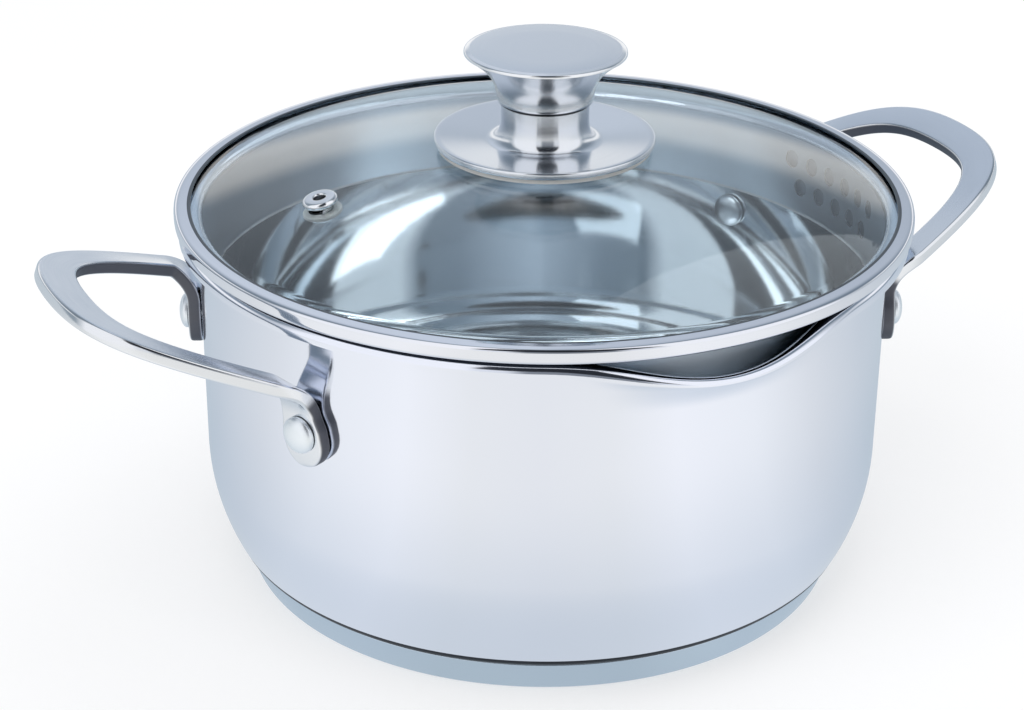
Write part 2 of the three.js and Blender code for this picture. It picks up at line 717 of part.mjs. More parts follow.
// Ring that seals the saucer on the dome.
function knobGasket() {
  const over = SAUCER_UNDER - GAP;
  return revolve(
    [
      [GASKET_INNER, domeHeight(GASKET_INNER) + GAP],
      [GASKET_OUTER, domeHeight(GASKET_OUTER) + GAP],
      [GASKET_OUTER, over],
      [GASKET_INNER, over],
    ],
    KNOB_STEPS,
  );
}

// Sleeve in the glass's hole, with a flange below the glass.
function glassGrommet() {
  const bore = SCREW_RADIUS + GAP;
  const sleeve = GLASS_HOLE - GAP;
  return revolve(
    [
      [bore, GROMMET_TOP - GROMMET_THICK],
      [GROMMET_FLANGE, GROMMET_TOP - GROMMET_THICK],
      [GROMMET_FLANGE, GROMMET_TOP],
      [sleeve, GROMMET_TOP],
      [sleeve, CROWN - GAP],
      [bore, CROWN - GAP],
    ],
    SMALL_STEPS,
  );
}

// Screw from below the glass up into the insert, with a crossed recess in its head.
function knobScrew() {
  const foot = SCREW_SEAT - SCREW_HEAD_HEIGHT;
  const tip = SAUCER_UNDER + INSERT_LIFT + SCREW_GRIP;
  const round = SCREW_HEAD_HEIGHT / 2;
  const body = revolve(
    [
      [0, foot],
      [SCREW_HEAD - round, foot],
      [SCREW_HEAD, foot + round],
      [SCREW_HEAD, SCREW_SEAT],
      [SCREW_RADIUS, SCREW_SEAT],
      [SCREW_RADIUS, tip - SCREW_RADIUS / 2],
      [SCREW_RADIUS / 2, tip],
      [0, tip],
    ],
    SMALL_STEPS,
  );
  const slots = [0, Math.PI / 2].map((turn) => {
    const slot = new THREE.BoxGeometry(SCREW_HEAD, SCREW_SLOT, SCREW_HEAD_HEIGHT);
    return slot.rotateZ(turn).translate(0, 0, foot);
  });
  return cut(body, slots);
}

function piece(name, geometry, material) {
  const mesh = new THREE.Mesh(geometry, material);
  mesh.name = name;
  return mesh;
}

// Assembly
const stewpot = new THREE.Group();

const pot = new THREE.Group();
pot.add(piece('pot_body', potBody(), polishedSteel));
pot.add(piece('base_core', baseCore(), aluminium));
pot.add(piece('base_cap', baseCap(), satinSteel));
for (const [name, turn] of [['handle_right', 0], ['handle_left', Math.PI]]) {
  const mesh = piece(name, handle(), satinSteel);
  mesh.rotation.z = turn;
  pot.add(mesh);
}
for (const [name, turn] of Object.entries(RIVET_PLACES)) {
  const mesh = piece(name, rivet(), rivetSteel);
  mesh.position.z = RIVET_HEIGHT;
  mesh.rotation.z = turn;
  pot.add(mesh);
}
stewpot.add(pot);

const lid = new THREE.Group();
lid.add(piece('lid_ring', lidRing(), polishedSteel));
lid.add(piece('lid_glass', lidGlass(), clearGlass));
const vent = ventPlace();
vent.add(piece('vent_eyelet', ventEyelet(), polishedSteel));
const ventWasherTop = -GLASS_THICK - GAP;
const ventWasher = flatRing(
  VENT_TUBE + GAP,
  VENT_WASHER,
  ventWasherTop - VENT_WASHER_THICK,
  ventWasherTop,
  SMALL_STEPS,
);
vent.add(piece('vent_washer', ventWasher, silicone));
lid.add(vent);
stewpot.add(lid);

const knob = new THREE.Group();
knob.add(piece('knob_top', knobTop(), satinSteel));
knob.add(piece('knob_base', knobBase(), satinSteel));
knob.add(piece('knob_insert', knobInsert(), polishedSteel));
knob.add(piece('knob_gasket', knobGasket(), silicone));
knob.add(piece('glass_grommet', glassGrommet(), silicone));
const washerFoot = WASHER_TOP - WASHER_THICK;
const washer = flatRing(SCREW_RADIUS + GAP, WASHER_RADIUS, washerFoot, WASHER_TOP, SMALL_STEPS);
knob.add(piece('knob_washer', washer, polishedSteel));
knob.add(piece('knob_screw', knobScrew(), polishedSteel));
stewpot.add(knob);

export default stewpot;
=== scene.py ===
import math

import bmesh
import bpy
import numpy as np
from mathutils import Matrix, Vector


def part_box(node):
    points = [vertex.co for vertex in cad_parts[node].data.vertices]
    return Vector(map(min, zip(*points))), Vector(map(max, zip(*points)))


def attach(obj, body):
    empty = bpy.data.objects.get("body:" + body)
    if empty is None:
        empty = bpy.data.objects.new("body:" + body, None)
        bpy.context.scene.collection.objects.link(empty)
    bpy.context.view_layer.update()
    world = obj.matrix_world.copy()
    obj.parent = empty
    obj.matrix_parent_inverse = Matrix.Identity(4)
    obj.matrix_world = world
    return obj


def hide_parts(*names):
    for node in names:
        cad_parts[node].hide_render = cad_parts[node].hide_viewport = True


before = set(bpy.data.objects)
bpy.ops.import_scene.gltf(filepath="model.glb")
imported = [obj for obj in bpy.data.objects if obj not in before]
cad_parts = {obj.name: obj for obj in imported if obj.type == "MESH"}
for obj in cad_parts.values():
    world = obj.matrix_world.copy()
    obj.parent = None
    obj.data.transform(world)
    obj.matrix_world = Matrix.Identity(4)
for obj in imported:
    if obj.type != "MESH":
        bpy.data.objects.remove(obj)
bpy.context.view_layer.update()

# Stewpot: every visible piece is a fine surface in millimetres, laid over its solid in the same frame.
MM = 0.001
QUARTER = math.pi / 2
GAP = 0.3
SAME_CORNER = 2e-6
PIECE_SHARP = 35.0

# Pot: wall, rounded lower wall, curled rim and pouring spouts
POT_RADIUS = 100.0
POT_SHEET = 0.8
POT_HEIGHT = 108.7
POT_OUTER = POT_RADIUS + POT_SHEET
BELLY_RADIUS = 60.6
BELLY_TOP = 38.8
FLOOR_RADIUS = 78.0
CURL_RADIUS = 2.8
CURL_END = math.radians(-12)
SPOUT_ANGLES = (-90.0, 90.0)
SPOUT_HALF_ANGLE = 27.0
SPOUT_REACH = 4.6
SPOUT_DIP = 4.4
SPOUT_DEPTH = 19.0
SPOUT_THIN = 0.35
RIM_RADIUS = POT_OUTER + 2 * CURL_RADIUS
POT_STEPS = 320
BELLY_STEPS = 40
RISE_STEPS = 20
# Cells of painted shadow at the seam, from the underside up to the belly's second cell
SEAM_SHADOW_CELLS = 7

# Base cup
BASE_HEIGHT = 9.5
BASE_SEAM = 0.9
BASE_TOP_RADIUS = 92.1
BASE_FOOT_RADIUS = 89.4
BASE_SHEET = 0.6
BASE_FILLET = 1.2
CORE_THICKNESS = 5.4
TUCK_WIDTH = 4.5
TUCK_SHARE = 0.3
FOOT_SHARE = 0.6
FLOOR_UNDER = BASE_SHEET + GAP + CORE_THICKNESS + GAP
FLOOR_TOP = FLOOR_UNDER + POT_SHEET
SHOULDER = BASE_HEIGHT + BASE_SEAM

# Rivets, placed by an angle from the handle's middle
RIVET_ANGLE = math.radians(24.84)
RIVET_HEIGHT = 75.8
RIVET_EDGE = 9.6
RIVET_SHANK = 2.3
RIVET_HEAD = 5.2
RIVET_DOME = 2.7
RIVET_SEAT = 0.65
RIVET_RIM = 0.5
RIVET_STEPS = 48

# Handles
HANDLE_THICK = 3.9
HANDLE_ROUND = 1.0
HANDLE_REACH = 149.5
HANDLE_TILT = math.radians(21)
TIP_WIDTH = 11.4
ARM_WIDTH = 8.7
TAB_WIDTH = 14.0
TAB_LEAN = math.radians(12)
TAB_TAPER = 0.4
BEND_FOOT = 5.2
BEND_OUT = 8.1
BEND_UP = 10.74
BEND_SIDE = 3.75
BEND_ROUND = 0.55
ARM_ANGLE = math.radians(-15.8)
ARM_LENGTH = 35.9
TIP_SWEEP = 25.65
ARM_TAPER = 0.15
INNER_EASE = 8.0
TAB_END_START = math.radians(4)
ROUND_LIMIT = 0.9
CORNER_STEPS = 8
BEND_SATIN = 0.2
SATIN_REACH = 0.4
FLAT_FACING = (0.8, 1.0)
SIDE_FACING = (0.5, 0.95)
TAB_FACING = (0.35, 0.65)
HANDLE_SHARP = 50.0
TAB_MIDDLE = POT_OUTER + GAP + HANDLE_THICK / 2
TAB_OUTER = POT_OUTER + GAP + HANDLE_THICK

# Lid ring and its strain holes
RING_RADIUS = 107.4
RING_SHEET = 0.5
RING_LIP = 4.9
RING_BEND = 1.6
RING_UNDER = POT_HEIGHT + GAP
SKIRT_OUTER = POT_RADIUS - 1.0
SKIRT_INNER = SKIRT_OUTER - RING_SHEET
SKIRT_FOOT = RING_UNDER - 25.5
SKIRT_HEM = 0.9
LIP_SHADOW_WIDTH = 0.8
BEND_STEPS = 10
BEAD_STEPS = 28
BEAD_SHADE_CELLS = 3
LIP_STEPS = 8
FOOT_STEPS = 8
FOOT_ROWS = 4
# Ring finishes: steel, skirt, painted shade, the hem's painted highlight and the lip's painted shadow
RING_FINISH, SKIRT_FINISH, PAINTED_SHADE_FINISH, HEM_HIGHLIGHT_FINISH, LIP_SHADOW_FINISH = range(5)
LID_TURN = -3.7
STRAIN_SIDES = (0.0, 180.0)
STRAIN_RADIUS = 2.75
STRAIN_PITCH = 5.5
STRAIN_ROWS = ((8.5, 6), (16.6, 5))
STRAIN_CELLS = 8

# Lid glass and vent
GLASS_THICK = 3.0
GLASS_RISE = 16.3
GLASS_HOLE = 4.9
BEAD_INNER = GLASS_THICK / 2 + GAP
BEAD_OUTER = BEAD_INNER + RING_SHEET
BEAD_SQUARE = 0.55
BEAD_RADIUS = RING_RADIUS - BEAD_OUTER
BEAD_HEIGHT = RING_UNDER + BEAD_OUTER
GLASS_TOP = BEAD_HEIGHT + GLASS_THICK / 2
DOME_RADIUS = BEAD_RADIUS - 3.2
DOME_SPHERE = (DOME_RADIUS**2 + GLASS_RISE**2) / (2 * GLASS_RISE)
CROWN = GLASS_TOP + GLASS_RISE
VENT_RADIUS = DOME_RADIUS - 31.9
VENT_TURN = math.radians(LID_TURN + 184.0)
VENT_BORE = 1.8
VENT_TUBE = 2.9
VENT_FLANGE = 5.0
VENT_RISE = 2.6
VENT_FOOT = 4.4
VENT_WASHER = 5.6
VENT_WASHER_THICK = 1.0
VENT_RIM = 0.5
VENT_ROUND = 0.25
VENT_HALF = 7.0
VENT_STEPS = 64

# Knob
SAUCER_RADIUS = 32.0
SAUCER_EDGE = 2.0
SAUCER_DISH = 1.2
NECK_RADIUS = 12.8
NECK_FLARE = 1.0
NECK_FILLET = 3.5
NECK_HEIGHT = 11.8
NECK_PULL = 0.6
NECK_CURVE = 1.9
KNOB_SHEET = 1.1
GRIP_FOOT = 14.2
GRIP_RADIUS = 23.4
GRIP_HEIGHT = 15.8
GRIP_ROUND = 1.6
GRIP_EDGE = 1.2
GRIP_FLARE = 2.2
GRIP_EDGE_TURN = math.radians(75)
GRIP_BORDER = 1.6
GRIP_CROWN = 0.12
GRIP_CROWN_SHARE = 0.6
GRIP_UNLINED = 3
GRIP_SHADE_CELLS = 6
GRIP_STEPS = 192
SAUCER_STEPS = 224
FITTING_STEPS = 96
GASKET_INNER = 25.5
GASKET_OUTER = 31.0
GASKET_THICK = 0.6
INSERT_RADIUS = 5.4
SCREW_RADIUS = 2.0
SCREW_HEAD = 5.0
SCREW_HEAD_HEIGHT = 2.8
SLOT_SIDE = (0.455, 0.78)
SLOT_REACH = (2.2, 2.6)
FACE_NEAR = 0.01
WASHER_RADIUS = 9.0
WASHER_THICK = 1.2
GROMMET_FLANGE = 9.0
GROMMET_THICK = 1.2
FITTING_ROUND = 0.3

# Camera: its place and aim in millimetres, its lens and its small roll
CAMERA_PLACE = (-296.6, -573.2, 372.9)
CAMERA_AIM = (0.0, 0.0, 60.06)
CAMERA_SIDESTEP = 8.91
CAMERA_ROLL = math.radians(0.46)
CAMERA_LENS = 83.47
CAMERA_SENSOR = 36.0
CAMERA_SIDE = math.radians(-27.36)


# Surfaces


def paired(radius, height):
    """Outline points from radii and heights; either can be one number."""
    return np.stack(np.broadcast_arrays(radius, height), -1)


def arc(radius, height, size, start, stop, count):
    """Points of an arc in the (radius, height) plane: the centre plus size times (cos t, sin t), with t in
    even steps from start to stop."""
    t = np.linspace(start, stop, count)
    return paired(radius + size * np.cos(t), height + size * np.sin(t))


def joined(*stretches):
    """Stretches of an outline, or single points of it, in one array."""
    return np.vstack([np.atleast_2d(np.asarray(stretch, float)) for stretch in stretches])


def turns(count):
    """Even angles round a full turn."""
    return np.linspace(0.0, 2 * math.pi, count, endpoint=False)


def smooth_step(value, low, high):
    """0 below low, 1 above high, and 3t^2 - 2t^3 between them."""
    t = np.clip((value - low) / (high - low), 0.0, 1.0)
    return t * t * (3 - 2 * t)


def spun(outline, angles):
    """Outline points (r, z) carried round Z: (r cos a, r sin a, z) for each angle a."""
    radius = outline[:, 0, None]
    height = np.repeat(outline[:, 1, None], len(angles), axis=1)
    return np.stack([radius * np.cos(angles), radius * np.sin(angles), height], axis=-1)


def cells(rows, columns, closed):
    """Corner numbers of the four-sided cells of a grid: (i, j), (i, j+1), (i+1, j+1), (i+1, j), going
    on from the last column to the first, and from the last row where it is closed."""
    j = np.arange(columns)
    next_j = (j + 1) % columns
    row = np.arange(rows if closed else rows - 1)[:, None] * columns
    next_row = (row + columns) % (rows * columns)
    return np.stack([row + j, row + next_j, next_row + next_j, next_row + j], -1)


def patch(points, closed=False, kept=None, finish=0):
    """A grid of points with its cells as a pair of flat arrays, and the finish number of each cell."""
    index = cells(*points.shape[:2], closed)
    finishes = np.broadcast_to(finish, index.shape[:2])
    if kept is None:
        kept = np.ones(index.shape[:2], bool)
    return points.reshape(-1, 3), index[kept], finishes[kept]


def window(low, high, middle, size, rings):
    """A flat rectangle with a round hole, as points (s, h): even steps from the hole's edge, middle plus
    size times (cos t, sin t), to the rectangle's edge in that direction, with STRAIN_CELLS steps a side."""
    step = np.arange(STRAIN_CELLS)[:, None] / STRAIN_CELLS
    (s0, h0), (s1, h1) = low, high
    corners = np.array([(s0, h0), (s1, h0), (s1, h1), (s0, h1)])
    edge = joined(*(a + (b - a) * step for a, b in zip(corners, np.roll(corners, -1, axis=0))))
    away = edge - middle
    hole = middle + size * away / np.linalg.norm(away, axis=1, keepdims=True)
    share = np.linspace(0.0, 1.0, rings)[:, None, None]
    return hole + share * (edge - hole)


def placed(points, turn, lean=0.0, lift=(0.0, 0.0, 0.0)):
    """Points leaned about Y, then turned about Z, then moved."""
    matrix = Matrix.Rotation(turn, 3, "Z") @ Matrix.Rotation(lean, 3, "Y")
    return points @ np.array(matrix).T + np.asarray(lift)


def add_object(name, data):
    """A new object in the scene."""
    made = bpy.data.objects.new(name, data)
    bpy.context.scene.collection.objects.link(made)
    return made


def make_piece(name, node, body, finishes, patches, values=None, sharp=PIECE_SHARP):
    """One closed mesh from its patches, which meet at equal corners, put in the place of its solid. It has
    named finishes, and edges that are sharp from so many degrees."""
    points = np.vstack([part[0] for part in patches]) * MM
    starts = np.cumsum([0] + [len(part[0]) for part in patches[:-1]])
    index = np.vstack([part[1] + start for part, start in zip(patches, starts)])
    mesh = bpy.data.meshes.new(name)
    mesh.from_pydata(points, [], index.tolist())
    finish_numbers = np.concatenate([part[2] for part in patches]).astype(np.int32)
    mesh.polygons.foreach_set("material_index", finish_numbers)
    for label, value in (values or {}).items():
        layer = mesh.attributes.new(label, "FLOAT", "POINT")
        layer.data.foreach_set("value", value.astype(np.float32).ravel())
    shell = bmesh.new()
    shell.from_mesh(mesh)
    bmesh.ops.remove_doubles(shell, verts=shell.verts, dist=SAME_CORNER)
    bmesh.ops.recalc_face_normals(shell, faces=shell.faces)
    shell.to_mesh(mesh)
    shell.free()
    mesh.shade_smooth()
    mesh.set_sharp_from_angle(angle=math.radians(sharp))
    for finish in finishes:
        mesh.materials.append(MATERIALS[finish])
    piece = add_object(name, mesh)
    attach(piece, body)
    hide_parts(node)
    return piece


# Materials: scales by the metre, reliefs in metres

NOISE_LOW, NOISE_HIGH = 0.3, 0.7
SPUN_FINE, SPUN_DRIFT = 2200.0, 30.0
BAR_FINE, BAR_DRIFT = 2600.0, 60.0
PATCH_SCALE = 18.0
LINE_DETAIL, PATCH_DETAIL = 3.0, 2.0
LINE_SHARE = 0.6
LINE_RELIEF = 0.00002
UPRIGHT = 0.25
BAR_POLISHED = (0.82, 0.84, 0.87)
BAR_SATIN = (0.72, 0.77, 0.84)
# Painted shade on the inner side of the handle's loop and the sides of its tabs
BAR_SHADE_COLOUR = (0.13, 0.135, 0.155, 1)
BAR_VALUES = ("satin", "along", "across", "painted_shade_share")
RUBBER_GRAIN, RUBBER_RELIEF = 1500.0, 0.0001


def feed(tree, node, inputs):
    """Give a node its inputs; each is a value to set or a socket to link."""
    for label, value in inputs.items():
        if isinstance(value, bpy.types.NodeSocket):
            tree.links.new(value, node.inputs[label])
        else:
            node.inputs[label].default_value = value


def add_node(tree, kind, inputs=None, **settings):
    """A shader node with its settings and inputs."""
    made = tree.nodes.new(kind)
    for label, value in settings.items():
        setattr(made, label, value)
    feed(tree, made, inputs or {})
    return made


def maths(tree, operation, first, second=0.0):
    """The result of an operation on values or sockets."""
    return add_node(tree, "ShaderNodeMath", {0: first, 1: second}, operation=operation).outputs[0]


def mapped(tree, value, start, stop, low=0.0, high=1.0, ease="LINEAR"):
    """A value that goes from low to high as another one goes from start to stop."""
    ends = {"From Min": start, "From Max": stop, "To Min": low, "To Max": high}
    return add_node(tree, "ShaderNodeMapRange", {"Value": value, **ends}, interpolation_type=ease).outputs[0]


def spread(tree, value, low, high):
    """A noise value stretched to the range from low to high."""
    return mapped(tree, value, NOISE_LOW, NOISE_HIGH, low, high)


def make_material(name, look, *values):
    """A material with the shader inputs that a look makes in its node tree."""
    made = bpy.data.materials.new(name)
    made.use_nodes = True
    tree = made.node_tree
    feed(tree, tree.nodes["Principled BSDF"], look(tree, *values))
    return made


def spun_lines(tree):
    """Noise in thin lines round Z: quick with radius and height, and slow with the place."""
    place = add_node(tree, "ShaderNodeTexCoord").outputs["Object"]
    flat = add_node(tree, "ShaderNodeVectorMath", {0: place, 1: (1, 1, 0)}, operation="MULTIPLY")
    radius = add_node(tree, "ShaderNodeVectorMath", {0: flat.outputs[0]}, operation="LENGTH").outputs["Value"]
    x, y, z = add_node(tree, "ShaderNodeSeparateXYZ", {0: place}).outputs
    fine = [maths(tree, "MULTIPLY", value, SPUN_FINE) for value in (radius, z)]
    drift = maths(tree, "MULTIPLY", maths(tree, "ADD", x, y), SPUN_DRIFT)
    vector = add_node(tree, "ShaderNodeCombineXYZ", {"X": fine[0], "Y": fine[1], "Z": drift})
    return noise(tree, vector.outputs[0], 1.0, LINE_DETAIL)


def noise(tree, place, scale, detail):
    """Noise over a place."""
    made = add_node(tree, "ShaderNodeTexNoise", {"Vector": place, "Scale": scale, "Detail": detail})
    return made.outputs["Fac"]


def cloudy(tree, scale):
    """Soft uneven patches, as handling and polishing leave them."""
    place = add_node(tree, "ShaderNodeTexCoord").outputs["Object"]
    return noise(tree, place, scale, PATCH_DETAIL)


def relief(tree, height, strength, distance=LINE_RELIEF):
    """The normal of a surface with a fine relief."""
    made = add_node(tree, "ShaderNodeBump", {"Height": height, "Strength": strength, "Distance": distance})
    return made.outputs["Normal"]


def tinted(tree, value, dark, light):
    """A colour between two, by a noise value."""
    return stops_ramp(tree, value, ((NOISE_LOW, dark), (NOISE_HIGH, light)))


def stops_ramp(tree, value, stops):
    """A colour that changes with a value through stops, each a position and a colour."""
    ramp = add_node(tree, "ShaderNodeValToRGB", {"Fac": value})
    elements = ramp.color_ramp.elements
    while len(elements) < len(stops):
        elements.new(1.0)
    for element, (position, colour) in zip(elements, stops):
        element.position = position
        element.color = (*colour, 1)
    return ramp.outputs["Color"]


def colour_mix(tree, share, first, second):
    """The first colour mixed with a share of the second; each is a value or a socket."""
    return add_node(tree, "ShaderNodeMix", {0: share, 6: first, 7: second}, data_type="RGBA").outputs[2]


def value_mix(tree, share, first, second):
    """The first value mixed with a share of the second."""
    return add_node(tree, "ShaderNodeMix", {0: share, 2: first, 3: second}, data_type="FLOAT").outputs[0]


def spun_steel(tree, dark, light, smooth, rough, bump, stretch=0.0, metal=1.0):
    """Steel polished on a lathe: two colours in soft patches, thin lines round Z in its relief and its
    roughness, from smooth to rough, and reflections stretched across the lines."""
    lines = spun_lines(tree)
    patches = cloudy(tree, PATCH_SCALE)
    line_part = maths(tree, "MULTIPLY", lines, LINE_SHARE)
    mixed = maths(tree, "ADD", line_part, maths(tree, "MULTIPLY", patches, 1 - LINE_SHARE))
    look = {
        "Metallic": metal,
        "Base Color": tinted(tree, patches, dark, light),
        "Roughness": spread(tree, mixed, smooth, rough),
        "Normal": relief(tree, lines, bump),
    }
    if stretch:
        tangent = add_node(tree, "ShaderNodeTangent", direction_type="RADIAL", axis="Z").outputs[0]
        look |= {"Anisotropic": stretch, "Anisotropic Rotation": UPRIGHT, "Tangent": tangent}
    return look


def bar_steel(tree):
    """Flat bar: satin on its flats, with lines along it, polished where its edges are rounded, and with
    painted shade, dark and rougher, on the inner side of the loop and the sides of the tabs."""
    flat, along, across, painted_shade_share = (
        add_node(tree, "ShaderNodeAttribute", attribute_name=label).outputs["Fac"] for label in BAR_VALUES
    )
    drift = maths(tree, "MULTIPLY", along, BAR_DRIFT)
    fine = maths(tree, "MULTIPLY", across, BAR_FINE)
    vector = add_node(tree, "ShaderNodeCombineXYZ", {"X": drift, "Y": fine})
    lines = noise(tree, vector.outputs[0], 1.0, LINE_DETAIL)
    ground = value_mix(tree, flat, spread(tree, lines, 0.08, 0.14), spread(tree, lines, 0.3, 0.42))
    steel = stops_ramp(tree, flat, ((0.0, BAR_POLISHED), (1.0, BAR_SATIN)))
    return {
        "Metallic": 1.0,
        "Base Color": colour_mix(tree, painted_shade_share, steel, BAR_SHADE_COLOUR),
        "Roughness": value_mix(tree, painted_shade_share, ground, 0.5),
        "Normal": relief(tree, maths(tree, "MULTIPLY", lines, flat), 0.25),
    }


def clear_glass(tree):
    """Clear tempered glass with a faint cool tint and a trace of unevenness in its gloss."""
    return {
        "Transmission Weight": 1.0,
        "IOR": 1.5,
        "Base Color": tinted(tree, cloudy(tree, 12.0), (0.88, 0.95, 0.985), (0.9, 0.965, 0.995)),
        "Roughness": spread(tree, cloudy(tree, 40.0), 0.0, 0.02),
    }


def silicone_rubber(tree):
    """Matt pale rubber with a fine grain."""
    grain = cloudy(tree, RUBBER_GRAIN)
    return {
        "Base Color": tinted(tree, grain, (0.66, 0.66, 0.64), (0.74, 0.74, 0.72)),
        "Roughness": spread(tree, grain, 0.55, 0.7),
        "Normal": relief(tree, grain, 0.2, RUBBER_RELIEF),
    }


# Steels: two colours, least and most roughness, strength of the relief, stretch and metal
STEELS = {
    "wall_steel": ((0.83, 0.86, 0.94), (0.85, 0.88, 0.96), 0.07, 0.11, 0.06),
    "inside_steel": ((0.84, 0.865, 0.885), (0.87, 0.89, 0.905), 0.04, 0.08, 0.06),
    # Painted shade: the top of the inside wall, behind the lid's skirt, made dark as where shade falls
    "painted_shade_band_steel": ((0.26, 0.32, 0.38), (0.3, 0.36, 0.42), 0.3, 0.4, 0.1),
    "cup_steel": ((0.56, 0.65, 0.74), (0.6, 0.69, 0.77), 0.2, 0.26, 0.08),
    "ring_steel": ((0.82, 0.84, 0.9), (0.86, 0.88, 0.93), 0.05, 0.08, 0.06),
    "skirt_steel": ((0.74, 0.84, 0.93), (0.79, 0.88, 0.95), 0.3, 0.38, 0.1, 0.9),
    # Painted highlight: near-white and barely metallic, so the skirt's hem shows as a bright edge line
    "hem_highlight_steel": ((0.92, 0.94, 0.96), (0.95, 0.96, 0.97), 0.4, 0.5, 0.1, 0.0, 0.3),
    # Painted shadow: the dark line where the glass meets the ring, on the lip's flat edge and round
    "lip_shadow_steel": ((0.07, 0.09, 0.11), (0.09, 0.11, 0.13), 0.25, 0.35, 0.1),
    # Painted shade: near-black steel laid where shade falls, at the seam, under the ring's bead, in the
    # strain holes and round the grip's foot
    "painted_shade_steel": ((0.018, 0.022, 0.03), (0.025, 0.03, 0.04), 0.4, 0.5, 0.1),
    "knob_steel": ((0.87, 0.89, 0.92), (0.91, 0.93, 0.95), 0.12, 0.17, 0.06, 0.95),
    "saucer_steel": ((0.77, 0.8, 0.85), (0.81, 0.84, 0.88), 0.13, 0.18, 0.06, 0.9),
    "knob_satin": ((0.72, 0.77, 0.83), (0.76, 0.8, 0.86), 0.3, 0.4, 0.2),
    "rivet_steel": ((0.86, 0.91, 0.95), (0.9, 0.94, 0.97), 0.34, 0.42, 0.1),
    "screw_steel": ((0.76, 0.78, 0.8), (0.82, 0.84, 0.86), 0.18, 0.3, 0.2),
    "core_metal": ((0.66, 0.67, 0.69), (0.72, 0.73, 0.75), 0.4, 0.5, 0.4),
}
MATERIALS = {name: make_material(name, spun_steel, *values) for name, values in STEELS.items()}
MATERIALS["handle_steel"] = make_material("handle_steel", bar_steel)
MATERIALS["glass"] = make_material("lid_clear_glass", clear_glass)
MATERIALS["rubber"] = make_material("pale_silicone", silicone_rubber)
for hidden, metal in (("base_core", "core_metal"), ("knob_insert", "screw_steel")):
    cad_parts[hidden].data.materials.clear()
    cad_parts[hidden].data.materials.append(MATERIALS[metal])


# Pot


def spout_share(angles):
    """How strongly a spout forms the rim: cos^2 of the angle from a spout's middle, from 1 there to 0 at
    its half angle."""
    share = np.zeros_like(angles)
    for middle in SPOUT_ANGLES:
        away = np.abs((np.degrees(angles) - middle + 180.0) % 360.0 - 180.0)
        share += np.where(away < SPOUT_HALF_ANGLE, np.cos(away / SPOUT_HALF_ANGLE * QUARTER) ** 2, 0.0)
    return share


def with_spouts(points, angles):
    """Points of the spun pot with the rim pressed out and down: the share of the spout at each angle times
    a smooth step over the spout's depth moves a point outwards and lower. The curl is flattened there
    too, by a part of the way to its outer foot."""
    spout = spout_share(angles)
    radius = np.linalg.norm(points[..., :2], axis=-1)
    height = points[..., 2]
    share = spout * smooth_step(height, POT_HEIGHT - SPOUT_DEPTH, POT_HEIGHT)
    thin = spout * SPOUT_THIN * smooth_step(height, POT_HEIGHT - SPOUT_DEPTH / 2, POT_HEIGHT - CURL_RADIUS)
    radius = radius + thin * (RIM_RADIUS - radius) + share * SPOUT_REACH
    height = height + thin * (POT_HEIGHT - 2 * CURL_RADIUS - height) - share * SPOUT_DIP
    return np.stack([radius * np.cos(angles), radius * np.sin(angles), height], -1)


def curve_through(start, pull, stop, count):
    """Quadratic curve (1-t)^2 start + 2t(1-t) pull + t^2 stop."""
    t = np.linspace(0.0, 1.0, count)[:, None]
    return (1 - t) ** 2 * np.asarray(start) + 2 * t * (1 - t) * np.asarray(pull) + t**2 * np.asarray(stop)


def make_pot():
    """The spun sheet with its spouts: under the floor and out to the seam, up the belly's arc and the wall,
    round the curl, and down inside to the middle of the floor."""
    belly_middle = POT_OUTER - BELLY_RADIUS
    shoulder_angle = -math.asin((BELLY_TOP - SHOULDER - POT_SHEET) / BELLY_RADIUS)
    belly = arc(belly_middle, BELLY_TOP, BELLY_RADIUS, shoulder_angle, 0.0, BELLY_STEPS)
    lining = arc(belly_middle, BELLY_TOP, BELLY_RADIUS - POT_SHEET, 0.0, shoulder_angle, BELLY_STEPS)
    rising = np.linspace(POT_HEIGHT - SPOUT_DEPTH, POT_HEIGHT - 2 * CURL_RADIUS, RISE_STEPS)
    curl_radius = POT_RADIUS + POT_SHEET / 2 + CURL_RADIUS
    curl_height = POT_HEIGHT - POT_SHEET / 2 - CURL_RADIUS
    under = arc(curl_radius, curl_height, CURL_RADIUS - POT_SHEET / 2, math.pi, CURL_END, 16)
    over = arc(curl_radius, curl_height, CURL_RADIUS + POT_SHEET / 2, CURL_END, math.pi, 24)
    tuck = BASE_TOP_RADIUS - BASE_SHEET - GAP
    heel = lining[-1]
    pull = (heel[0] - (heel[1] - FLOOR_TOP) / 2, FLOOR_TOP)
    outside = joined(
        (0.0, FLOOR_UNDER),
        (tuck - TUCK_WIDTH, FLOOR_UNDER),
        (tuck - TUCK_SHARE * TUCK_WIDTH, FLOOR_UNDER + TUCK_SHARE * (SHOULDER - FLOOR_UNDER)),
        (tuck, SHOULDER),
        (belly[0, 0] - POT_SHEET, SHOULDER),
        belly,
        paired(POT_OUTER, rising),
        under,
        over,
    )
    floor_radii = np.linspace(FLOOR_RADIUS, 0.0, 14)[1:]
    inside = joined(
        paired(POT_RADIUS, rising[::-1]),
        lining,
        curve_through(heel, pull, (FLOOR_RADIUS, FLOOR_TOP), 16)[1:],
        paired(floor_radii, FLOOR_TOP),
    )
    angles = turns(POT_STEPS)
    outline = joined(outside, inside)
    points = with_spouts(spun(outline, angles), angles)
    wall, inner, band, seam_shadow = range(4)
    rim = len(outside) - 1
    finish = np.full((len(outline) - 1, 1), wall)
    # Painted shadow: the seam's dark groove line is painted on the two lowest belly cells, with the hidden
    # underside and shoulder
    finish[:SEAM_SHADOW_CELLS] = seam_shadow
    finish[rim:] = inner
    # Painted shade: the top of the inside wall, behind the skirt, is dark so the strain holes look dark
    finish[rim : rim + RISE_STEPS] = band
    skin = patch(points, finish=finish)
    steels = ["wall_steel", "inside_steel", "painted_shade_band_steel", "painted_shade_steel"]
    make_piece("pot_shell", "pot_body", "pot", steels, [skin])


